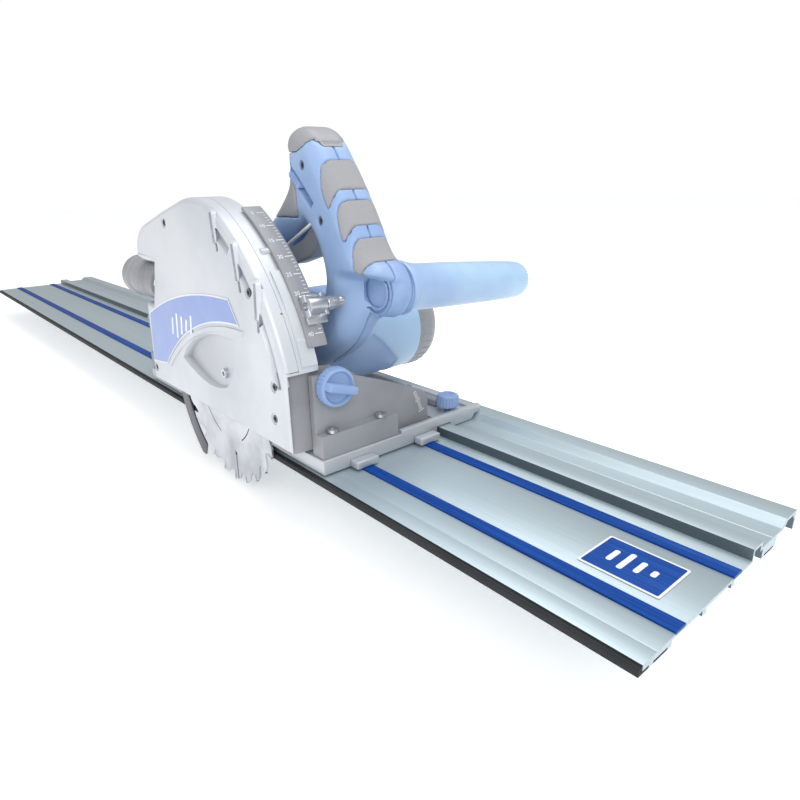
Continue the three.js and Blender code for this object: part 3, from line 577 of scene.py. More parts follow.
# blocks set round a ring about y, each turned to face out; every few one is longer
def ringOf(name, finish, place, rod=False, **sizes):
    sizes = {"Count": 24, "Radius": 0.1, "From": 0.0, "Step": 15.0, "Long": 0.004, "Across": 0.001,
             "High": 0.001, "Every": 1000, "Stretch": 1.0, "Lean": 0.0, **sizes}
    graph, size = plantTree(name + "Tree", sizes)
    spots = graph.node("GeometryNodePoints", {}, {"Count": size["Count"]})
    index = graph.node("GeometryNodeInputIndex")
    angle = (size["From"] + size["Step"] * index) * (math.pi / 180)
    ring = graph.vector(size["Radius"] * angle.math("COSINE"), 0.0, size["Radius"] * angle.math("SINE"))
    placed = graph.node("GeometryNodeSetPosition", {}, {"Geometry": spots, "Position": ring})
    if rod:
        shape = graph.cylinder(10, size["Across"], size["Long"])
        shape = graph.node("GeometryNodeTransform", {}, {"Geometry": shape,
                                                         "Rotation": (math.pi / 2, 0, 0)})
    else:
        dims = graph.vector(size["Long"], size["High"], size["Across"])
        shape = graph.node("GeometryNodeMeshCube", {}, {"Size": dims}, "Mesh")
    turn = graph.vector(0.0, size["Lean"] - angle, 0.0)
    first = index.math("MODULO", size["Every"]).math("LESS_THAN", 0.5)
    long = graph.vector(first * (size["Stretch"] - 1) + 1, 1.0, 1.0)
    every = graph.node("GeometryNodeInstanceOnPoints", {}, {"Points": placed, "Instance": shape,
                                                            "Rotation": turn, "Scale": long})
    piece = harvest(graph, every, finish, name, sizes)
    piece.data.transform(place)
    return piece


def aboutY(x, y, z):
    return Matrix.Translation(toFrame((x, y, z), sawX))


def aboutX(x, y, z):
    return aboutY(x, y, z) @ Matrix.Rotation(math.pi / 2, 4, "Z")


def aboutZ(x, y, z):
    return aboutY(x, y, z) @ Matrix.Rotation(math.pi / 2, 4, "X")


def screwsOf(name, finish, spots, aims, radius, height, socket=0.52, sides=6):
    sizes = {"Radius": radius / 1000, "Height": height / 1000, "Socket": radius * socket / 1000}
    graph, size = plantTree(name + "Tree", sizes)
    head = graph.cylinder(28, size["Radius"] * 0.94, size["Height"])
    skirt = graph.cylinder(28, size["Radius"], size["Height"] * 0.72)
    whole = graph.node("GeometryNodeMeshBoolean", {"operation": "UNION"}, {"Mesh 2": head})
    graph.tree.links.new(skirt.socket, whole.socket.node.inputs["Mesh 2"])
    tool = graph.cylinder(sides, size["Socket"], size["Height"])
    lift = graph.vector(0.0, 0.0, size["Height"] * 0.5)
    tool = graph.node("GeometryNodeTransform", {}, {"Geometry": tool, "Translation": lift})
    head = graph.node("GeometryNodeMeshBoolean", {"operation": "DIFFERENCE"},
                      {"Mesh 1": whole, "Mesh 2": tool})
    aim = graph.node("GeometryNodeInputNamedAttribute", {"data_type": "FLOAT_VECTOR"}, {"Name": "aim"})
    turn = graph.node("FunctionNodeAlignRotationToVector", {"axis": "Z"}, {"Vector": aim})
    every = graph.node("GeometryNodeInstanceOnPoints", {}, {"Points": size["Geometry"], "Instance": head,
                                                            "Rotation": turn})
    return harvest(graph, every, finish, name, sizes, spots, aims, sawX)


def lettered(name, words, size, places, finish):  # small figures, each turned by its own matrix
    shown = []
    for word, place in zip(words, places):
        data = bpy.data.curves.new("figure", "FONT")
        data.body, data.size, data.extrude = word, size / 1000, 0.00006
        data.align_x = data.align_y = "CENTER"
        figure = linked("figure", data)
        graph = bpy.context.evaluated_depsgraph_get()
        mesh = bpy.data.meshes.new_from_object(figure.evaluated_get(graph))
        mesh.transform(place)
        bpy.data.objects.remove(figure)
        shown.append(linked("figure", mesh))
    piece = merged(name, shown)
    piece.data.materials.append(finish)
    return piece


# the track
rail = {"half": 700, "ease": 0.35, "strips": (("left", 29.2), ("right", 90.6)), "stripWide": 9.4,
        "stripLow": 4.4, "stripSide": 5.8, "stripTop": 6.0, "ribs": 7, "ribDepth": 0.22,
        "guard": [(-2.9, 0), (5.7, 0), (5.7, 1.3), (0, 1.3), (0, 4.0), (-0.6, 4.4), (-2.4, 4.4), (-2.9, 3.9)],
        "badge": (636, 683, 46, 80), "badgeBars": ((646, 3), (654, 0), (662, 3), (670, 6)), "barWide": 3.2}


def railProfile():
    return [
        (0.3, 1.6), (0.3, 5), (12, 5), (12.2, 4.8), (12.6, 4.8), (12.8, 5), (28.9, 5), (28.9, 4.2),
        (38.9, 4.2), (38.9, 5), (90.3, 5), (90.3, 4.2), (100.3, 4.2), (100.3, 5), (113, 5), (113, 12.2),
        (125, 12.2), (125, 8), (139.6, 8), (139.9, 7.7), (140.3, 7.7), (140.6, 8), (154, 8),
        (159, 12.5), (175, 12.5), (175, 0), (172.6, 0), (172.6, 8), (170.5, 8), (170.5, 10.4), (161, 10.4),
        (157, 6.2), (147, 6.2), (147, 0), (143.3, 0), (143.3, 1.5), (130.7, 1.5), (130.7, 0), (127, 0),
        (127, 6.2), (123.2, 6.2), (123.2, 10.4),
        (114.8, 10.4), (114.8, 3.2), (92, 3.2), (92, 0), (88, 0), (88, 3.2), (60, 3.2), (60, 0), (56, 0),
        (56, 3.2), (26, 3.2), (26, 0), (22.3, 0), (22.3, 1.5), (9.7, 1.5), (9.7, 0), (6, 0), (6, 1.6),
    ]


def alongTrack(profile, name="tool"):
    return crossPrism(profile, -rail["half"], rail["half"], name, shift=0.0)


finished(softened(alongTrack(railProfile()), rail["ease"], 2), "track", railMetal,
         ["track_rail"], name="railExtrusion")
for side, left in rail["strips"]:
    pitch = rail["stripWide"] / rail["ribs"]
    ridge = [(left + pitch * (i + t), rail["stripTop"] - (rail["ribDepth"] if t in (0, 0.86) else 0))
             for i in range(rail["ribs"]) for t in (0, 0.14, 0.72, 0.86)]
    edge = left + rail["stripWide"]
    profile = [(edge, rail["stripLow"]), (edge, rail["stripSide"]), *ridge[::-1],
               (left, rail["stripSide"]), (left, rail["stripLow"])]
    finished(alongTrack(profile), "track", stripPlastic, ["glide_strip_" + side],
             name="glideStrip_" + side)
finished(softened(alongTrack(rail["guard"]), 0.2), "track", edgeRubber, ["splinter_guard"],
         name="splinterGuard")
for node in ("grip_strip_left", "grip_strip_right"):
    refined(node, 0.2, edgeRubber, "track")


def tablet(x0, x1, y0, y1, r, z0, z1, name):  # a plate lying flat with round corners
    points = []
    for cx, cy, start in ((x1 - r, y1 - r, 0), (x0 + r, y1 - r, 90), (x0 + r, y0 + r, 180),
                          (x1 - r, y0 + r, 270)):
        points += arc(cx, cy, r, start, start + 90, 6)
    return between([(a, b, z0) for a, b in points], [(a, b, z1) for a, b in points], name, 0.0)


front, back, near, far = rail["badge"]
edging = tablet(front, back, near, far, 1.2, 5.3, 5.62, "badgeEdging")
field = tablet(front + 1.4, back - 1.4, near + 1.4, far - 1.4, 0.8, 5.6, 5.8, "badgeField")
bars = merged("badgeBars", [tablet(x, x + rail["barWide"], near + 8 + k, far - 8 - k, 1.4, 5.75, 5.86, "bar")
                            for x, k in rail["badgeBars"]])
finished(edging, "track", whitePaint, ["track_badge"])
finished(field, "track", stripPlastic)
finished(bars, "track", whitePaint)
print("track made")


# the base and its brackets
refined("base_plate", 0.7, baseCast, "base")
for node in ("glide_shoe_left", "glide_shoe_right"):
    refined(node, 0.9, baseCast, "base")
refined("fit_lever", 1.2, blackPlastic, "base", 3)
for node in ("front_bevel_bracket", "rear_bevel_bracket"):
    refined(node, 0.8, blackPlastic, "base", 3)
footScrew = {"radius": 4.2, "height": 2.6}
screwNodes = [end + "_bracket_screw_" + side for end in ("front", "rear") for side in ("left", "right")]
screwSpots = []
for node in screwNodes:
    low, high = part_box(node)
    mid = (low + high) / 2
    screwSpots.append(((mid.x - sawX) * 1000, mid.y * 1000, high.z * 1000 - footScrew["height"] / 2))
heads = screwsOf("baseScrews", brightSteel, screwSpots, [(0, 0, 1)] * 4, footScrew["radius"],
                 footScrew["height"])
finished(heads, "base", brightSteel, screwNodes)
degrees = ringOf("bevelDegrees", whitePaint, aboutX(130.15, 0, 0), Count=10, Radius=0.1005, From=18.0,
                 Step=1.1, Long=0.003, Across=0.0004, High=0.0002, Every=5, Stretch=1.8)
finished(degrees, "base", whitePaint)
knob = {"y": 19, "z": 67, "r": 13.8, "dish": 11.2, "wing": 3, "turn": 72, "gap": (5.3, 5.1)}


def bevelKnob(end, face, out):
    y, z, r = knob["y"], knob["z"], knob["r"]
    rows = [(0, 0), (r - 1, 0), (r, 1), (r, 7), (r - 0.4, 8), (r - 1.4, 8.6), (knob["dish"] + 0.6, 8.6),
            (knob["dish"], 8), (knob["dish"] - 0.6, 6.4), (0, 6)]
    disc = turned([(a, face + out * h) for a, h in rows], 0, z, "tool", 72, "x", y)
    w = knob["wing"]
    low, high = sorted((face + out * 5, face + out * 15.4))
    wing = softened(block(low, high, y - w, y + w, z - r + 1.6, z + r - 1.6), 1.6, 3)
    centre = aboutY(0, y, z)
    wing.data.transform(centre @ Matrix.Rotation(math.radians(knob["turn"]), 4, "X") @ centre.inverted())
    low, high = sorted((face + out * 3, face - out * 12))
    stud = drum(0, z, 3, low, high, "stud", 24, "x", y)
    flutes = ringOf(end + "KnobFlutes", bluePlastic, aboutX(face + out * 4, y, z), True, Count=30,
                    Radius=(r - 0.2) / 1000, Step=12.0, Long=0.0062, Across=0.0007)
    node = end + "_bevel_knob"  # the body has the node's name
    finished(merged(end + "BevelKnob", [join(disc, wing, stud), flutes]), node, bluePlastic,
             [node])


bevelKnob("front", (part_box("front_bevel_bracket")[0].x - sawX) * 1000 + knob["gap"][0], 1)
bevelKnob("rear", (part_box("rear_bevel_bracket")[1].x - sawX) * 1000 - knob["gap"][1], -1)
fit = {"x": 117, "y": 138, "r": 8.8, "low": 20, "high": 31}
low, high, r = fit["low"], fit["high"], fit["r"]
rows = [(0, low), (r - 0.8, low), (r, low + 1), (r, high - 2), (r - 0.6, high - 0.7), (r - 2, high),
        (4, high), (3.4, high - 0.8), (0, high - 0.8)]
cap = turned(rows, fit["x"], 0, "tool", 64, "z", fit["y"])
stud = drum(fit["x"], 0, 2.5, 13.6, 21, "stud", 24, "z", fit["y"])
ribs = ringOf("fitKnobRibs", bluePlastic, aboutZ(fit["x"], fit["y"], 25), True, Count=22, Step=360 / 22,
              Radius=(fit["r"] - 0.1) / 1000, Long=0.0082, Across=0.00075)
finished(merged("fitKnobCap", [join(cap, stud), ribs]), "fit_knob", bluePlastic, ["fit_knob"])
print("base made")


# the blade cover
cover = {"left": -16, "seam": -5, "right": 12, "arcX": -40, "arcZ": 38, "arcR": 165, "rim": 4.2,
         "screws": [(103, 69), (100, 45), (79, 131), (-55, 172), (-124, 36)],
         "gussets": [((37, 181), (39, 157)), ((65, 161), (68, 131)), ((92, 137), (89, 106))],
         "labelArc": (59, -119, 223.5)}
scoopCut = {"deep": 6.4, "shallow": 1.2, "from": -53, "long": 104}


def bezier(points, steps):
    out = []
    for i in range(1, steps + 1):
        level = [np.array(p, float) for p in points]
        while len(level) > 1:
            level = [a + (b - a) * i / steps for a, b in zip(level, level[1:])]
        out.append(tuple(level[0]))
    return out


def coverOutline():
    x, z, r = cover["arcX"], cover["arcZ"], cover["arcR"]
    start = math.degrees(math.atan2(82 - z, 121 - x))
    outline = [(-133, 23), (119, 23)] + arc(x, z, r, start, 62, 40)
    outline += bezier([outline[-1], (22, 191), (4, 194.5), (-20, 190)], 16)
    outline += [(-60, 180.9), (-104, 169.4)] + bezier([(-104, 169.4), (-131, 162), (-131, 140)], 12)
    outline += bezier([(-131, 140), (-126, 137.4), (-112, 137)], 6)
    return outline + [(-92, 137), (-108, 98.6), (-125, 98.6), (-127, 81)]


def inset(points, amount):
    p = np.array(points, float)
    ahead, behind = np.roll(p, -1, 0) - p, p - np.roll(p, 1, 0)
    ahead /= np.linalg.norm(ahead, axis=1)[:, None]
    behind /= np.linalg.norm(behind, axis=1)[:, None]
    n1 = np.stack([-ahead[:, 1], ahead[:, 0]], 1)
    n2 = np.stack([-behind[:, 1], behind[:, 0]], 1)
    mitre = n1 + n2
    mitre /= np.maximum((mitre * n1).sum(1), 0.5)[:, None]
    return [tuple(v) for v in p + mitre * amount]


def rimmed(points, face, back, r, name):  # a slab whose rim is rounded at its face
    way = 1 if back > face else -1
    rings = [(inset(points, r * (1 - math.cos(t))), face + way * r * (1 - math.sin(t)))
             for t in (math.pi / 2 * k / 5 for k in range(5, -1, -1))]
    rings.append((points, back))
    n = len(points)
    verts = [(a, y, b) for ring, y in rings for a, b in ring]
    faces = [tuple(range(n)), tuple(range((len(rings) - 1) * n, len(rings) * n))]
    for k in range(len(rings) - 1):
        row, above = k * n, (k + 1) * n
        faces += [(row + i, row + (i + 1) % n, above + (i + 1) % n, above + i) for i in range(n)]
    return outwards(newPiece(name, verts, faces))


def tapered(points, y0, y1, grow, name="tool"):  # a slab whose outline grows towards y1
    return between([(a, y0, b) for a, b in points], [(a, y1, b) for a, b in inset(points, -grow)], name)


def scoopOutline():
    rim = (bezier([(-53, 60), (-20, 96), (50, 94)], 22) + bezier([(50, 94), (53, 70), (30, 51)], 12)
           + bezier([(30, 51), (-4, 38), (-53, 60)], 20))
    return rim[::-1]


outline = coverOutline()
left, seam, right = cover["left"], cover["seam"], cover["right"]
shell = rimmed(outline, left, seam - 0.15, cover["rim"], "coverOuterShell")
scoop = scoopOutline()
raised = [tapered(inset(scoop, -2.4), left + 7.6, left + 0.6, 0.0)]
x, z, r = cover["labelArc"]
raised.append(tapered(band(x, z, r - 6.6, r - 2, 88, 131, 40), left + 1, left - 1.2, -0.7))
for high, low in cover["gussets"]:
    foot = (low[0] + 0.35 * (high[0] - low[0]), low[1] + 0.35 * (high[1] - low[1]))
    raised.append(tapered(capsule(high, foot, 5.2), left + 1, left - 1.5, -1.4))
raised.append(prism(band(cover["arcX"], cover["arcZ"], 146.5, 160, 12, 60, 40), left + 1.2, left + 4.6))
tools = [prism(inset(outline, 2.2), left + 2, 5), block(-104, 86, left + 2, 5, 10, 31),
         block(87.7, 130, left + 2.1, 5, 0, 79.3), drum(0, 118, 13, -118, -84, axis="x"),
         block(58, 160, seam - 1.4, seam + 3, 118, 119.0)]
shell = join(cut(shell, *tools), *raised)
x, z = cover["arcX"], cover["arcZ"]
tools = [prism(capsule(high, low, 1.7), left - 3, left + 4.2) for high, low in cover["gussets"]]
for start, end in ((59, 51.5), (45, 37), (30.5, 12)):
    tools.append(tapered(band(x, z, 150, 155.5, end, start, 16), left + 3.2, left - 1, 1.6))
slope = (scoopCut["deep"] - scoopCut["shallow"]) / scoopCut["long"]
floor = [(a, left + scoopCut["deep"] - slope * (a - scoopCut["from"]), b) for a, b in inset(scoop, 2.6)]
tools.append(between(floor, [(a, left - 2, b) for a, b in inset(scoop, -0.8)]))
tools += [drum(a, b, 3, left - 3, seam + 2) for a, b in cover["screws"]]
tools += [drum(a, b, 4.4, left - 3, left + 0.7) for a, b in cover["screws"]]
for turn in (15.6, 3.2):  # two joint lines across the rim
    height = z + 160 * math.sin(math.radians(turn))
    tools.append(block(118, 130, left - 1, seam + 1, height, height + 0.7))
shell = cut(shell, *tools)
finished(shell, "tilt_frame", outerPaint, ["cover_outer"], 34)
weighted(shell)

shell = rimmed(outline, right, seam + 0.15, 3.0, "coverInnerShell")
bumps = []
for turn in (22, 46):
    a, b = polar(cover["arcX"], cover["arcZ"], cover["arcR"] - 1.0, turn)
    bumps.append(softened(drum(a, b, 2.9, seam + 4, right - 0.4, steps=24), 0.6))
ledge = prism(band(cover["arcX"], cover["arcZ"], 160, 166.4, 16, 40, 30), seam + 3, right - 2)
shell = join(shell, ledge, *bumps)
tools = [prism(inset(outline, 2.2), -10, right - 2), block(-104, 86, -10, right - 2, 10, 31),
         block(87.7, 130, -10, right + 1, 0, 79.3), block(-46, 44, right - 4, right + 2, 10, 128),
         drum(0, 118, 13, -118, -84, axis="x"), drum(-112, 62, 5.4, -10, 20)]
weighted(finished(cut(shell, *tools), "tilt_frame", coverPaint, ["cover_inner"], 34))

x, z, r = cover["labelArc"]
plan = [(-118, 90)] + bezier([(-118, 90), (-40, 124), (48, 123)], 30)
plan += arc(x, z, r, 89.5, 132.5, 40) + [(-126, 42)]
edging = prism(plan, left - 0.55, left - 0.3, "labelEdging")
field = prism(inset(plan, -1.3), left - 0.85, left - 0.5, "labelField")
strokes = [capsule((a, 84 + 0.13 * a + k), (a + 3, 108 + 0.18 * a - k), 1.5)
           for a, k in ((-66, 4), (-56, 1), (-46, 4), (-36, 7), (-26, 4))]
marks = merged("labelMarks", [prism(s, left - 0.95, left - 0.8) for s in strokes])
finished(edging, "tilt_frame", whitePaint, ["cover_label"])
finished(field, "tilt_frame", labelPrint)
finished(marks, "tilt_frame", whitePaint)

spots = [(a, left + 1.7, b) for a, b in cover["screws"]]
heads = screwsOf("coverScrews", darkSteel, spots, [(0, -1, 0)] * len(spots), 2.9, 2.4, 0.6)
finished(heads, "tilt_frame", darkSteel, ["cover_screw_" + str(i) for i in range(1, 6)])
head = screwsOf("scoopBolt", brightSteel, [(26, left + 1.2, 62)], [(0, -1, 0)], 3.9, 3.4, 0.55)
finished(head, "tilt_frame", brightSteel, ["scoop_bolt"])

port = {"z": 118, "from": -92, "to": -171.5, "bore": 15, "r": 18, "collar": 19.5, "rib": 18.7, "ribs": 5}
rows = [(port["bore"], port["from"]), (port["r"], port["from"])]
for i in range(port["ribs"]):
    at = -122 - 6 * i
    rows += [(port["r"], at + 1.6), (port["rib"], at + 1), (port["rib"], at - 1), (port["r"], at - 1.6)]
rows += [(port["r"], -159), (port["collar"], -160), (port["collar"], port["to"] + 0.5), (19, port["to"]),
         (16.8, port["to"]), (port["bore"], port["to"] + 3.5)]
tube = turned(rows, 0, port["z"], "dustTube", 96, "x")
seat = prism([(-92.3, 137), (-108.3, 98.6), (-108, 80), (0, 80), (0, 160), (-92, 160)], -30, 30)
finished(cut(tube, seat), "tilt_frame", blackPlastic, ["dust_port"])

refined("front_tilt_block", 1.4, blackPlastic, "tilt_frame", 3)
refined("rear_tilt_segment", 0.7, blackPlastic, "tilt_frame")
arcX, arcZ = cover["arcX"], cover["arcZ"]
scale = {"inner": 166.2, "outer": 168.4, "from": 20, "to": 61, "low": 5, "high": 20, "first": 23,
         "figures": 8}
strap = prism(band(arcX, arcZ, scale["inner"], scale["outer"], scale["from"], scale["to"], 60),
              scale["low"], scale["high"], "depthScaleStrap")
finished(softened(strap, 0.35), "tilt_frame", blackPlastic, ["depth_scale"])
ticks = ringOf("depthTicks", whitePaint, aboutY(arcX, 17.3, arcZ), Count=36, Radius=0.16835,
               From=float(scale["first"]), Step=1.0, Long=0.0003, Across=0.0005, High=0.0022)
longTicks = ringOf("depthLongTicks", whitePaint, aboutY(arcX, 15.6, arcZ), Count=scale["figures"],
                   Radius=0.16837, From=float(scale["first"]), Step=5.0, Long=0.0003, Across=0.0006,
                   High=0.006)
places = []
for i in range(scale["figures"]):
    turn = math.radians(scale["first"] + 5 * i)
    out = Vector((math.cos(turn), 0, math.sin(turn)))
    along = Vector((-math.sin(turn), 0, math.cos(turn)))
    spot = toFrame((arcX, 9.2, arcZ), sawX) + out * 0.16842
    side = Vector((0, -1, 0))
    places.append(Matrix(((along.x, side.x, out.x, spot.x), (along.y, side.y, out.y, spot.y),
                          (along.z, side.z, out.z, spot.z), (0, 0, 0, 1)))
                  @ Matrix.Rotation(-math.pi / 2, 4, "Z"))
words = [str(5 * (scale["figures"] - i)) for i in range(scale["figures"])]
figures = lettered("depthFigures", words, 4.4, places, whitePaint)
for piece in (ticks, longTicks, figures):
    finished(piece, "tilt_frame", whitePaint)
low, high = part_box("depth_stop_screw")
screwX, screwZ = ((low.x + high.x) / 2 - sawX) * 1000, (low.z + high.z) * 500
stop = {"from": 25, "to": 32, "foot": 168.6, "plate": 171.4, "cheekTop": 176.2, "near": 8, "far": 24}
plan = band(arcX, arcZ, stop["foot"], stop["plate"], stop["from"], stop["to"], 10)
saddle = softened(prism(plan, stop["near"], stop["far"]), 0.5)
plan = band(arcX, arcZ, stop["foot"] + 0.6, stop["cheekTop"], 26.4, 31.6, 8)
cheeks = [softened(prism(plan, y0, y1), 0.8, 3) for y0, y1 in ((stop["near"], 10.6), (20.8, stop["far"]))]
barrel = softened(drum(screwX, screwZ, 5.6, 9.4, 23.2, steps=48), 0.7)
finished(cut(join(saddle, *cheeks, barrel), drum(screwX, screwZ, 2.9, 0, 40)), "depth_stop",
         brightSteel, ["depth_stop"], name="depthStopClamp")
y = cover["right"]
rows = [(0, y - 1.6), (2.6, y - 1.6), (2.6, y + 12.4), (4, y + 12.4), (4.4, y + 13), (4.4, y + 24.4),
        (3.8, y + 25), (0, y + 25)]
pin = turned(rows, screwX, screwZ, "tool", 40)
wing = softened(prism(capsule((screwX - 9, screwZ - 3), (screwX + 9, screwZ + 3), 2.2), y + 17, y + 21), 0.7)
knurl = ringOf("stopKnurl", brightSteel, aboutY(screwX, y + 15, screwZ), True, Count=20, Step=18.0,
               Radius=0.0043, Long=0.0034, Across=0.0004)
finished(merged("depthStopPin", [join(pin, wing), knurl]), "depth_stop", brightSteel,
         ["depth_stop_screw"])
refined("plunge_pin", 0.5, brightSteel, "tilt_frame")
print("cover made")


# blade, spindle and knife
saw = {"teeth": 24, "y": -4.9, "half": 0.8, "bore": 10.3, "slots": 4, "slotFirst": 6, "tipR": 77.2,
       "tooth": ((71.5, -1.2), (71.2, 0.0), (73.5, 0.8), (79.2, 1.7), (79.0, 4.2), (77.4, 7.2), (73.6, 10.2),
                 (71.8, 12.6))}
hub = bladeHigh * 1000
points = [polar(0, hub, r, 360 / saw["teeth"] * i + t) for i in range(saw["teeth"]) for r, t in saw["tooth"]]
disc = prism(points, saw["y"] - saw["half"], saw["y"] + saw["half"], "bladeDisc")
tools = [drum(0, hub, saw["bore"], -8, -2)]
for i in range(saw["slots"]):
    a = 90 * i + saw["slotFirst"]
    wave = arc(0, hub, 44, 90 * i + 30, 90 * i + 68, 10) + arc(0, hub, 43, 90 * i + 68, 90 * i + 30, 10)
    tools += [prism(shape, -8, -2) for shape in (
        capsule(polar(0, hub, 77, a), polar(0, hub, 55, a + 3), 0.9, 4),
        arc(*polar(0, hub, 54, a + 3), 2.1, 0, 345, 15), wave)]
disc = cut(disc, *tools)
tips = ringOf("carbideTips", brightSteel, aboutY(0, saw["y"], hub), Count=saw["teeth"],
              Radius=saw["tipR"] / 1000, From=1.35, Step=360 / saw["teeth"], Long=0.0052, Across=0.0012,
              High=0.0022, Lean=0.12)
finished(disc, "blade_spindle", bladeSteel, ["blade"])
finished(tips, "blade_spindle", brightSteel)
refined("riving_knife", 0.25, darkSteel, "riving_knife")
for node in ("spindle", "inner_flange", "drive_gear"):
    refined(node, 0.25, brightSteel, "blade_spindle")
refined("arbor_bolt", 0.3, darkSteel, "blade_spindle")
refined("rotor", 0, copperWire, "rotor")
print("blade made")


# motor and gear housing
motor = {"r": 46, "from": 39, "to": 176, "panel": 118, "step": 0.7, "vents": (138, 150, 162, 174, 186, 198),
         "capSlots": 18}
axisHigh = motorHigh * 1000


def motorBarrel():
    rows, around = 60, 160
    verts, faces = [], []
    for i in range(rows + 1):
        y = motor["from"] + (motor["to"] - motor["from"]) * i / rows
        r = np.interp(y, [39, 43, 51, 100, 176], [45, 45.6, 46, 46, 43]) - motor["step"]
        for k in range(around):
            a = 2 * math.pi * k / around
            lean = math.degrees(math.atan2(math.sin(a - 0.6), math.cos(a - 0.6)))
            edge = motor["panel"] + 34 * min(1, abs(lean) / 70) ** 1.6 - 26 * math.exp(-(lean / 26) ** 2)
            rise = motor["step"] * eased((y - edge) / 2.4 + 0.5)
            verts.append(((r + rise) * math.cos(a), y, axisHigh + (r + rise) * math.sin(a)))
    for i in range(rows):
        for k in range(around):
            m = (k + 1) % around
            faces.append((i * around + k, i * around + m, (i + 1) * around + m, (i + 1) * around + k))
    faces += [tuple(range(around)), tuple(range(rows * around, (rows + 1) * around))]
    return outwards(newPiece("motorBarrel", verts, faces))


def barrelPaint():
    f = Finish("barrelBlue")
    cloud = f.noise(14, 3)
    along = f.node("ShaderNodeSeparateXYZ", {}, [f.place], "Y")
    plain = f.node("ShaderNodeMapRange", {}, {"Value": along, "From Min": 0.1, "From Max": 0.176,
                                              "To Min": 0.0456, "To Max": 0.0426})
    panel = (f.radiusFrom((sawX, 0, motorHigh)) - plain).between(0.0, 0.0003)
    colour = f.mixed(cloud.between(0.35, 0.7), tones["blue"], tones["blueDeep"])
    colour = f.mixed(panel * 0.7, colour, tones["blueLight"])
    return f.surface(Base_Color=colour, Roughness=0.42 + 0.14 * cloud - 0.12 * panel,
                     Normal=f.bump(f.noise(2600, 2), 0.05, 0.0004))


def aboutMotor(turn):  # shapes made at zero, turned and set on the motor's axis
    return aboutY(0, 0, axisHigh) @ Matrix.Rotation(math.radians(turn), 4, "Y") @ aboutY(0, 0, 0).inverted()


vents = []
for turn in motor["vents"]:
    slot = block(-1.1, 1.1, 150, 172, 36, 52)
    slot.data.transform(aboutMotor(90 - turn))
    vents.append(slot)
finished(cut(motorBarrel(), *vents), "saw_head", barrelPaint(), ["motor_housing"], 36)
rows = [(0, 176.3), (43, 176.3), (43.2, 177.4), (43.2, 189), (42.6, 192.5), (40.6, 197), (37.4, 200.4),
        (34, 201.8), (28, 202), (27.4, 201.2), (14, 201.2), (13.4, 202), (0, 202)]
cap = turned(rows, 0, axisHigh, "tool", 120)
slots = []
for i in range(motor["capSlots"]):
    slot = softened(block(17, 25, 199.4, 204, -1.4, 1.4), 0.5)
    slot.data.transform(aboutMotor(-360 / motor["capSlots"] * i))
    slots.append(slot)
cap = cut(cap, *slots)
fins = ringOf("capFins", blackPlastic, aboutY(0, 185, axisHigh), Count=36, Radius=0.0429, Step=10.0,
              Long=0.0012, Across=0.0024, High=0.011)
finished(merged("motorCap", [cap, fins]), "saw_head", blackPlastic, ["motor_end_cap"])
refined("gear_housing", 0.9, housingCast, "saw_head")
refined("spindle_lock", 0.5, blackPlastic, "spindle_lock")
print("motor made")


# the handles
grip = {"left": 39, "mid": 58, "right": 77, "round": 12, "step": 1.15, "seam": 0.15, "insertDeep": 3.2,
        "screws": ((70, 212), (89, 175))}
gripOutline = curveThrough([
    (-52, 112), (-50, 86), (-40, 70), (52, 62), (76, 70), (100, 86), (118, 106), (137, 110), (148, 121),
    (150, 133), (143, 146), (130, 154), (120, 170), (108, 190), (94, 210), (83, 225), (73, 234.5), (62, 238),
    (51, 235), (46, 227), (47, 218), (46, 210), (45, 200), (32, 187), (12, 172), (-12, 157), (-32, 144),
    (-47, 130)], 5)
fingerHole = curveThrough([
    (67, 170), (76, 161), (83, 147), (85, 134), (80, 122), (64, 118), (8, 118), (-12, 122), (-16, 130),
    (2, 145), (22, 153), (58, 172)], 5)
crescents = [
    [(99.5, 183), (94.8, 190), (91.6, 198), (90, 205), (89, 210.5), (90.8, 215.5), (99, 222), (114, 203.5),
     (104.5, 197.2), (102.6, 192), (101.5, 186)],
    [(114.5, 162), (110.6, 169), (108.2, 176), (107, 181), (106.8, 185.5), (109.2, 189.8), (118, 196),
     (131, 179), (119, 173.6), (117.4, 169), (116.6, 164)],
    [(129, 138), (125.4, 144.5), (123.2, 151), (122, 156), (121.5, 160.5), (123.2, 165.4), (132, 171),
     (150, 156), (138, 151), (135.2, 147), (132.6, 142)],
]
backPatch = [(0, 168), (16, 174.5), (42, 176.5), (58, 177.5), (60, 190), (57, 202), (40, 212), (10, 205)]
capLine = [(0, 300), (0, 221), (64, 221), (71, 223.5), (77, 228.5), (84, 223.5), (140, 223.5), (140, 300)]
low = (-60, 35, 56)
gx, gy, gz = grid(low, (156, 81, 243), grip["step"])
flatX, flatZ = gx[:, 0, :], gz[:, 0, :]


def fromOutline(points):
    return outlineDistance(points, flatX, flatZ)[:, None, :]


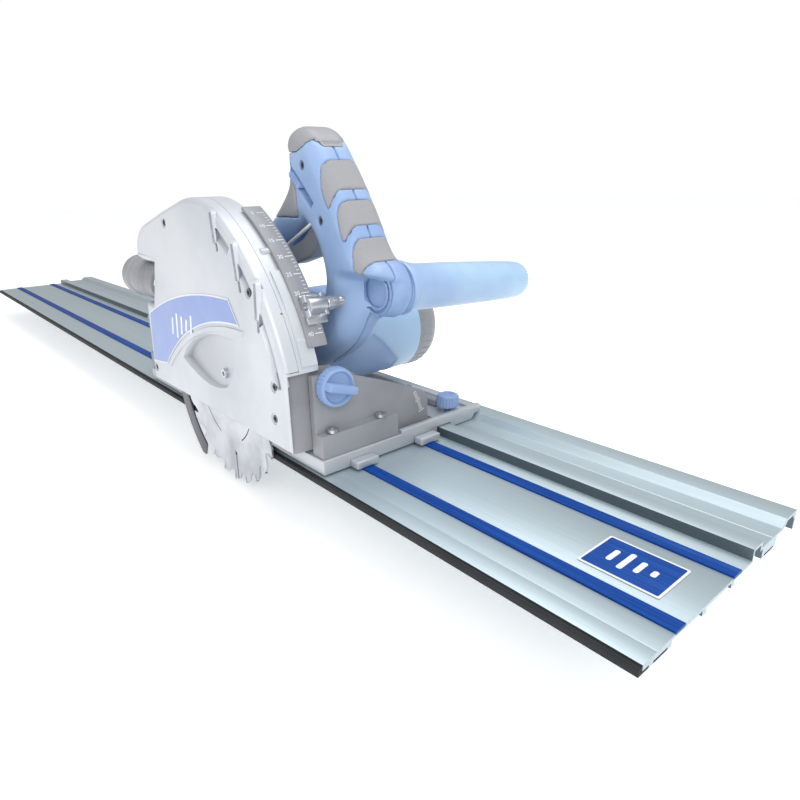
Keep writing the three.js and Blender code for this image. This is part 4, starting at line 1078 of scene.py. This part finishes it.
flat = np.maximum(fromOutline(gripOutline), -fromOutline(fingerHole))
fall = 18 * eased((gx - 100) / 26) * eased((144 - gz) / 10)
near = grip["left"] + grip["seam"] + fall  # the near face falls away towards the hub
form = rounded(flat, np.maximum(near - gy, gy - grip["right"] + grip["seam"]), grip["round"])
hubX, hubZ, hubR, hubNear = 127, 128, 17.6, 56
away = np.hypot(gx - hubX, gz - hubZ)
hub = rounded(away - hubR, np.abs(gy - 66.5) - 10.5, 2.5)
form = np.minimum(form, hub)
dish = rounded(away - 11, np.abs(gy - hubNear) - 2.2, 1.2)
form = np.maximum(form, -np.minimum(np.hypot(away - 14.2, gy - hubNear) - 1.1, dish))
lockSlot = fromOutline([(54, 214), (50, 210), (78, 183), (82, 187)])
form = np.maximum(form, -np.maximum(lockSlot, gy - (grip["left"] + 6)))
for a, b in grip["screws"]:
    form = np.maximum(form, -np.maximum(np.hypot(gx - a, gz - b) - 3.1, gy - (grip["left"] + 5)))
form = np.maximum(form, -(np.hypot(gx, gz - motorHigh * 1000) - motor["r"] - 0.3))
triggerSlot = fromOutline([(60, 180), (72, 166), (60, 140), (18, 130), (10, 152)])
form = np.maximum(form, -np.maximum(triggerSlot, np.abs(gy - grip["mid"]) - 8))
crown = fromOutline(capLine)
inlet = np.maximum(np.hypot(gy - grip["mid"], gz - 229) - 6.4, gx - 56)
cap = np.maximum(np.maximum(form, crown + grip["seam"]), -inlet)
rest = np.maximum(form, -(crown - grip["seam"]))
deep = grip["insertDeep"]
inserts = []
for points in (*crescents, backPatch):
    at = fromOutline(curveThrough(points, 5))
    inserts.append(np.maximum(np.maximum(rest - 0.25, at + 0.3), -(rest + deep - 0.3)))
    rest = np.maximum(rest, -np.maximum(at, -(rest + deep)))


def gripPiece(field, name, finish, stands, body="saw_head"):
    field = field.copy()
    for axis in range(3):
        edge = [slice(None)] * 3
        for end in (0, -1):
            edge[axis] = end
            field[tuple(edge)] = np.maximum(field[tuple(edge)], 0.5)
    piece = skinOf(field, low, grip["step"], name)
    relax = piece.modifiers.new("relax", "SMOOTH")
    relax.factor, relax.iterations = 0.4, 2
    return finished(settled(piece), body, finish, stands, 44)


gripPiece(np.maximum(rest, gy - grip["mid"] + grip["seam"]), "gripLeftHalf", bluePlastic,
          ["handle_left_shell"])
gripPiece(np.maximum(rest, grip["mid"] + grip["seam"] - gy), "gripRightHalf", bluePlastic,
          ["handle_right_shell"])
gripPiece(cap, "gripCrown", blackPlastic, ["handle_cap"])
for i, field in enumerate(inserts[:3]):
    gripPiece(field, "gripInsert_" + str(i + 1), gripRubber, ["grip_insert_" + str(i + 1)])
gripPiece(inserts[3], "gripBackPatch", gripRubber, [])
bead = softened(prism(capsule((75.5, 172.4), (38, 154.6), 0.8), grip["left"] + 0.4, grip["left"] + 3), 0.3)
finished(bead, "saw_head", whitePaint, name="gripTrimLine")
spots = [(a, grip["left"] + 2.6, b) for a, b in grip["screws"]]
heads = screwsOf("gripScrews", darkSteel, spots, [(0, -1, 0)] * 2, 2.9, 2.2, 0.6)
finished(heads, "saw_head", darkSteel)
ears = curveThrough([(63, 168), (66, 158), (58, 148), (44, 143), (26, 139), (19, 145), (24, 151),
                     (46, 160), (58, 169)], 5)
finished(softened(prism(ears, 50.6, 65.4, "triggerPaddle"), 2.2, 4), "trigger", blackPlastic,
         ["trigger"])
slide = join(prism(capsule((57.5, 206.2), (65.5, 198.6), 2.0), 37.6, 44, "lockSlider"),
             *[prism(capsule((a - 1.1, b - 1.1), (a + 1.1, b + 1.1), 0.4, 4), 37.1, 39)
               for a, b in ((58, 205.7), (60, 203.8), (62, 201.9), (64, 200))])
finished(slide, "lock_off_slider", bluePlastic, ["lock_off_slider"])
refined("cord_grommet", 0.4, edgeRubber, "saw_head")

stick = {"x": 127, "y": 77.4, "z": 128, "length": 137, "droop": 3.8}
spine = curveThrough([(18, 1.2), (18.4, 5), (17.6, 10), (16.9, 18), (16.9, 42), (16.5, 70), (16, 96),
                      (15.3, 118), (14.4, 129), (12, 133.6), (8, stick["length"] - 0.9),
                      (3, stick["length"])], 6, False)
rows = [(0, -1), (17, -1), (17.6, 0)] + spine + [(0, stick["length"])]
rod = turned(rows, 0, 0, "stickGrip", 128)
rod.data.transform(aboutY(stick["x"], stick["y"], stick["z"])
                   @ Matrix.Rotation(-math.radians(stick["droop"]), 4, "X") @ aboutY(0, 0, 0).inverted())
ring = turned([(16, -0.4), (18.8, -0.4), (19.4, 0.4), (19.4, 2.6), (18.8, 3.4), (16, 3.4)], stick["x"],
              stick["z"], "stickCollar", 96)
ring.data.transform(Matrix.Translation((0, stick["y"] / 1000, 0)))
finished(merged("stickHandleGrip", [rod, ring]), "saw_head", bluePanel, ["stick_handle"], 50)
print("handles made")

for node, finish in (("stator", copperWire), ("power_switch", blackPlastic), ("return_spring", darkSteel)):
    nodes[node].data.materials.clear()
    nodes[node].data.materials.append(finish)


# floor, light and camera
stage = {"floor": -0.0465, "size": 7.0, "camera": (0.79512, -0.21303, 0.2018), "yaw": 139.57, "pitch": 19.56,
         "roll": -1.26, "lens": 28.04}
f = Finish("paleFloor")
dust = f.noise(3, 3)
f.surface(Base_Color=f.mixed(dust, linear(247, 247, 248), linear(243, 244, 245)), Roughness=0.75 + 0.1 * dust,
          Emission_Color=(1, 1, 1, 1), Emission_Strength=0.42)
s = stage["size"]
floorPiece = newPiece("floor", [(x * 1000, y * 1000, stage["floor"] * 1000) for x, y in
                                ((-s, -s), (s, -s), (s, s), (-s, s))], [(0, 1, 2, 3)], 0.0)
floorPiece.data.materials.append(f.material)


def softbox(name, at, target, size, watts, tint=(1, 1, 1)):
    data = bpy.data.lights.new(name, "AREA")
    data.shape, data.size, data.size_y, data.energy, data.color = "RECTANGLE", size[0], size[1], watts, tint
    lamp = linked(name, data)
    lamp.location = at
    lamp.rotation_euler = (Vector(target) - Vector(at)).to_track_quat("-Z", "Y").to_euler()


softbox("overheadSoftbox", (0.55, 0.35, 1.5), (0.3, 0.05, 0.05), (1.4, 1.0), 14)
softbox("frontSoftbox", (1.5, -0.7, 0.9), (0.35, 0.0, 0.08), (0.8, 0.6), 8)
softbox("sideSoftbox", (-0.3, -1.3, 0.8), (0.3, 0.0, 0.08), (1.0, 0.8), 2)
world = bpy.data.worlds.new("studio")
world.use_nodes = True
sky = Graph(world.node_tree)
seen = sky.node("ShaderNodeLightPath", output="Is Camera Ray")
glow = world.node_tree.nodes["Background"].inputs
glow["Color"].default_value = (1, 1, 1, 1)
world.node_tree.links.new((0.62 + 0.4 * seen).socket, glow["Strength"])
bpy.context.scene.world = world
yaw, pitch, roll = (math.radians(stage[k]) for k in ("yaw", "pitch", "roll"))
ahead = Vector((math.cos(pitch) * math.cos(yaw), math.cos(pitch) * math.sin(yaw), -math.sin(pitch)))
across = ahead.cross(Vector((0, 0, 1))).normalized()
above = across.cross(ahead)
across, above = (math.cos(roll) * across + math.sin(roll) * above,
                 -math.sin(roll) * across + math.cos(roll) * above)
lensData = bpy.data.cameras.new("camera")
lensData.lens, lensData.sensor_width = stage["lens"], 36
camera = linked("camera", lensData)
camera.matrix_world = Matrix(((across.x, above.x, -ahead.x, stage["camera"][0]),
                              (across.y, above.y, -ahead.y, stage["camera"][1]),
                              (across.z, above.z, -ahead.z, stage["camera"][2]), (0, 0, 0, 1)))
bpy.context.scene.camera = camera
bpy.context.scene.view_settings.view_transform = "Standard"
print("stage set")
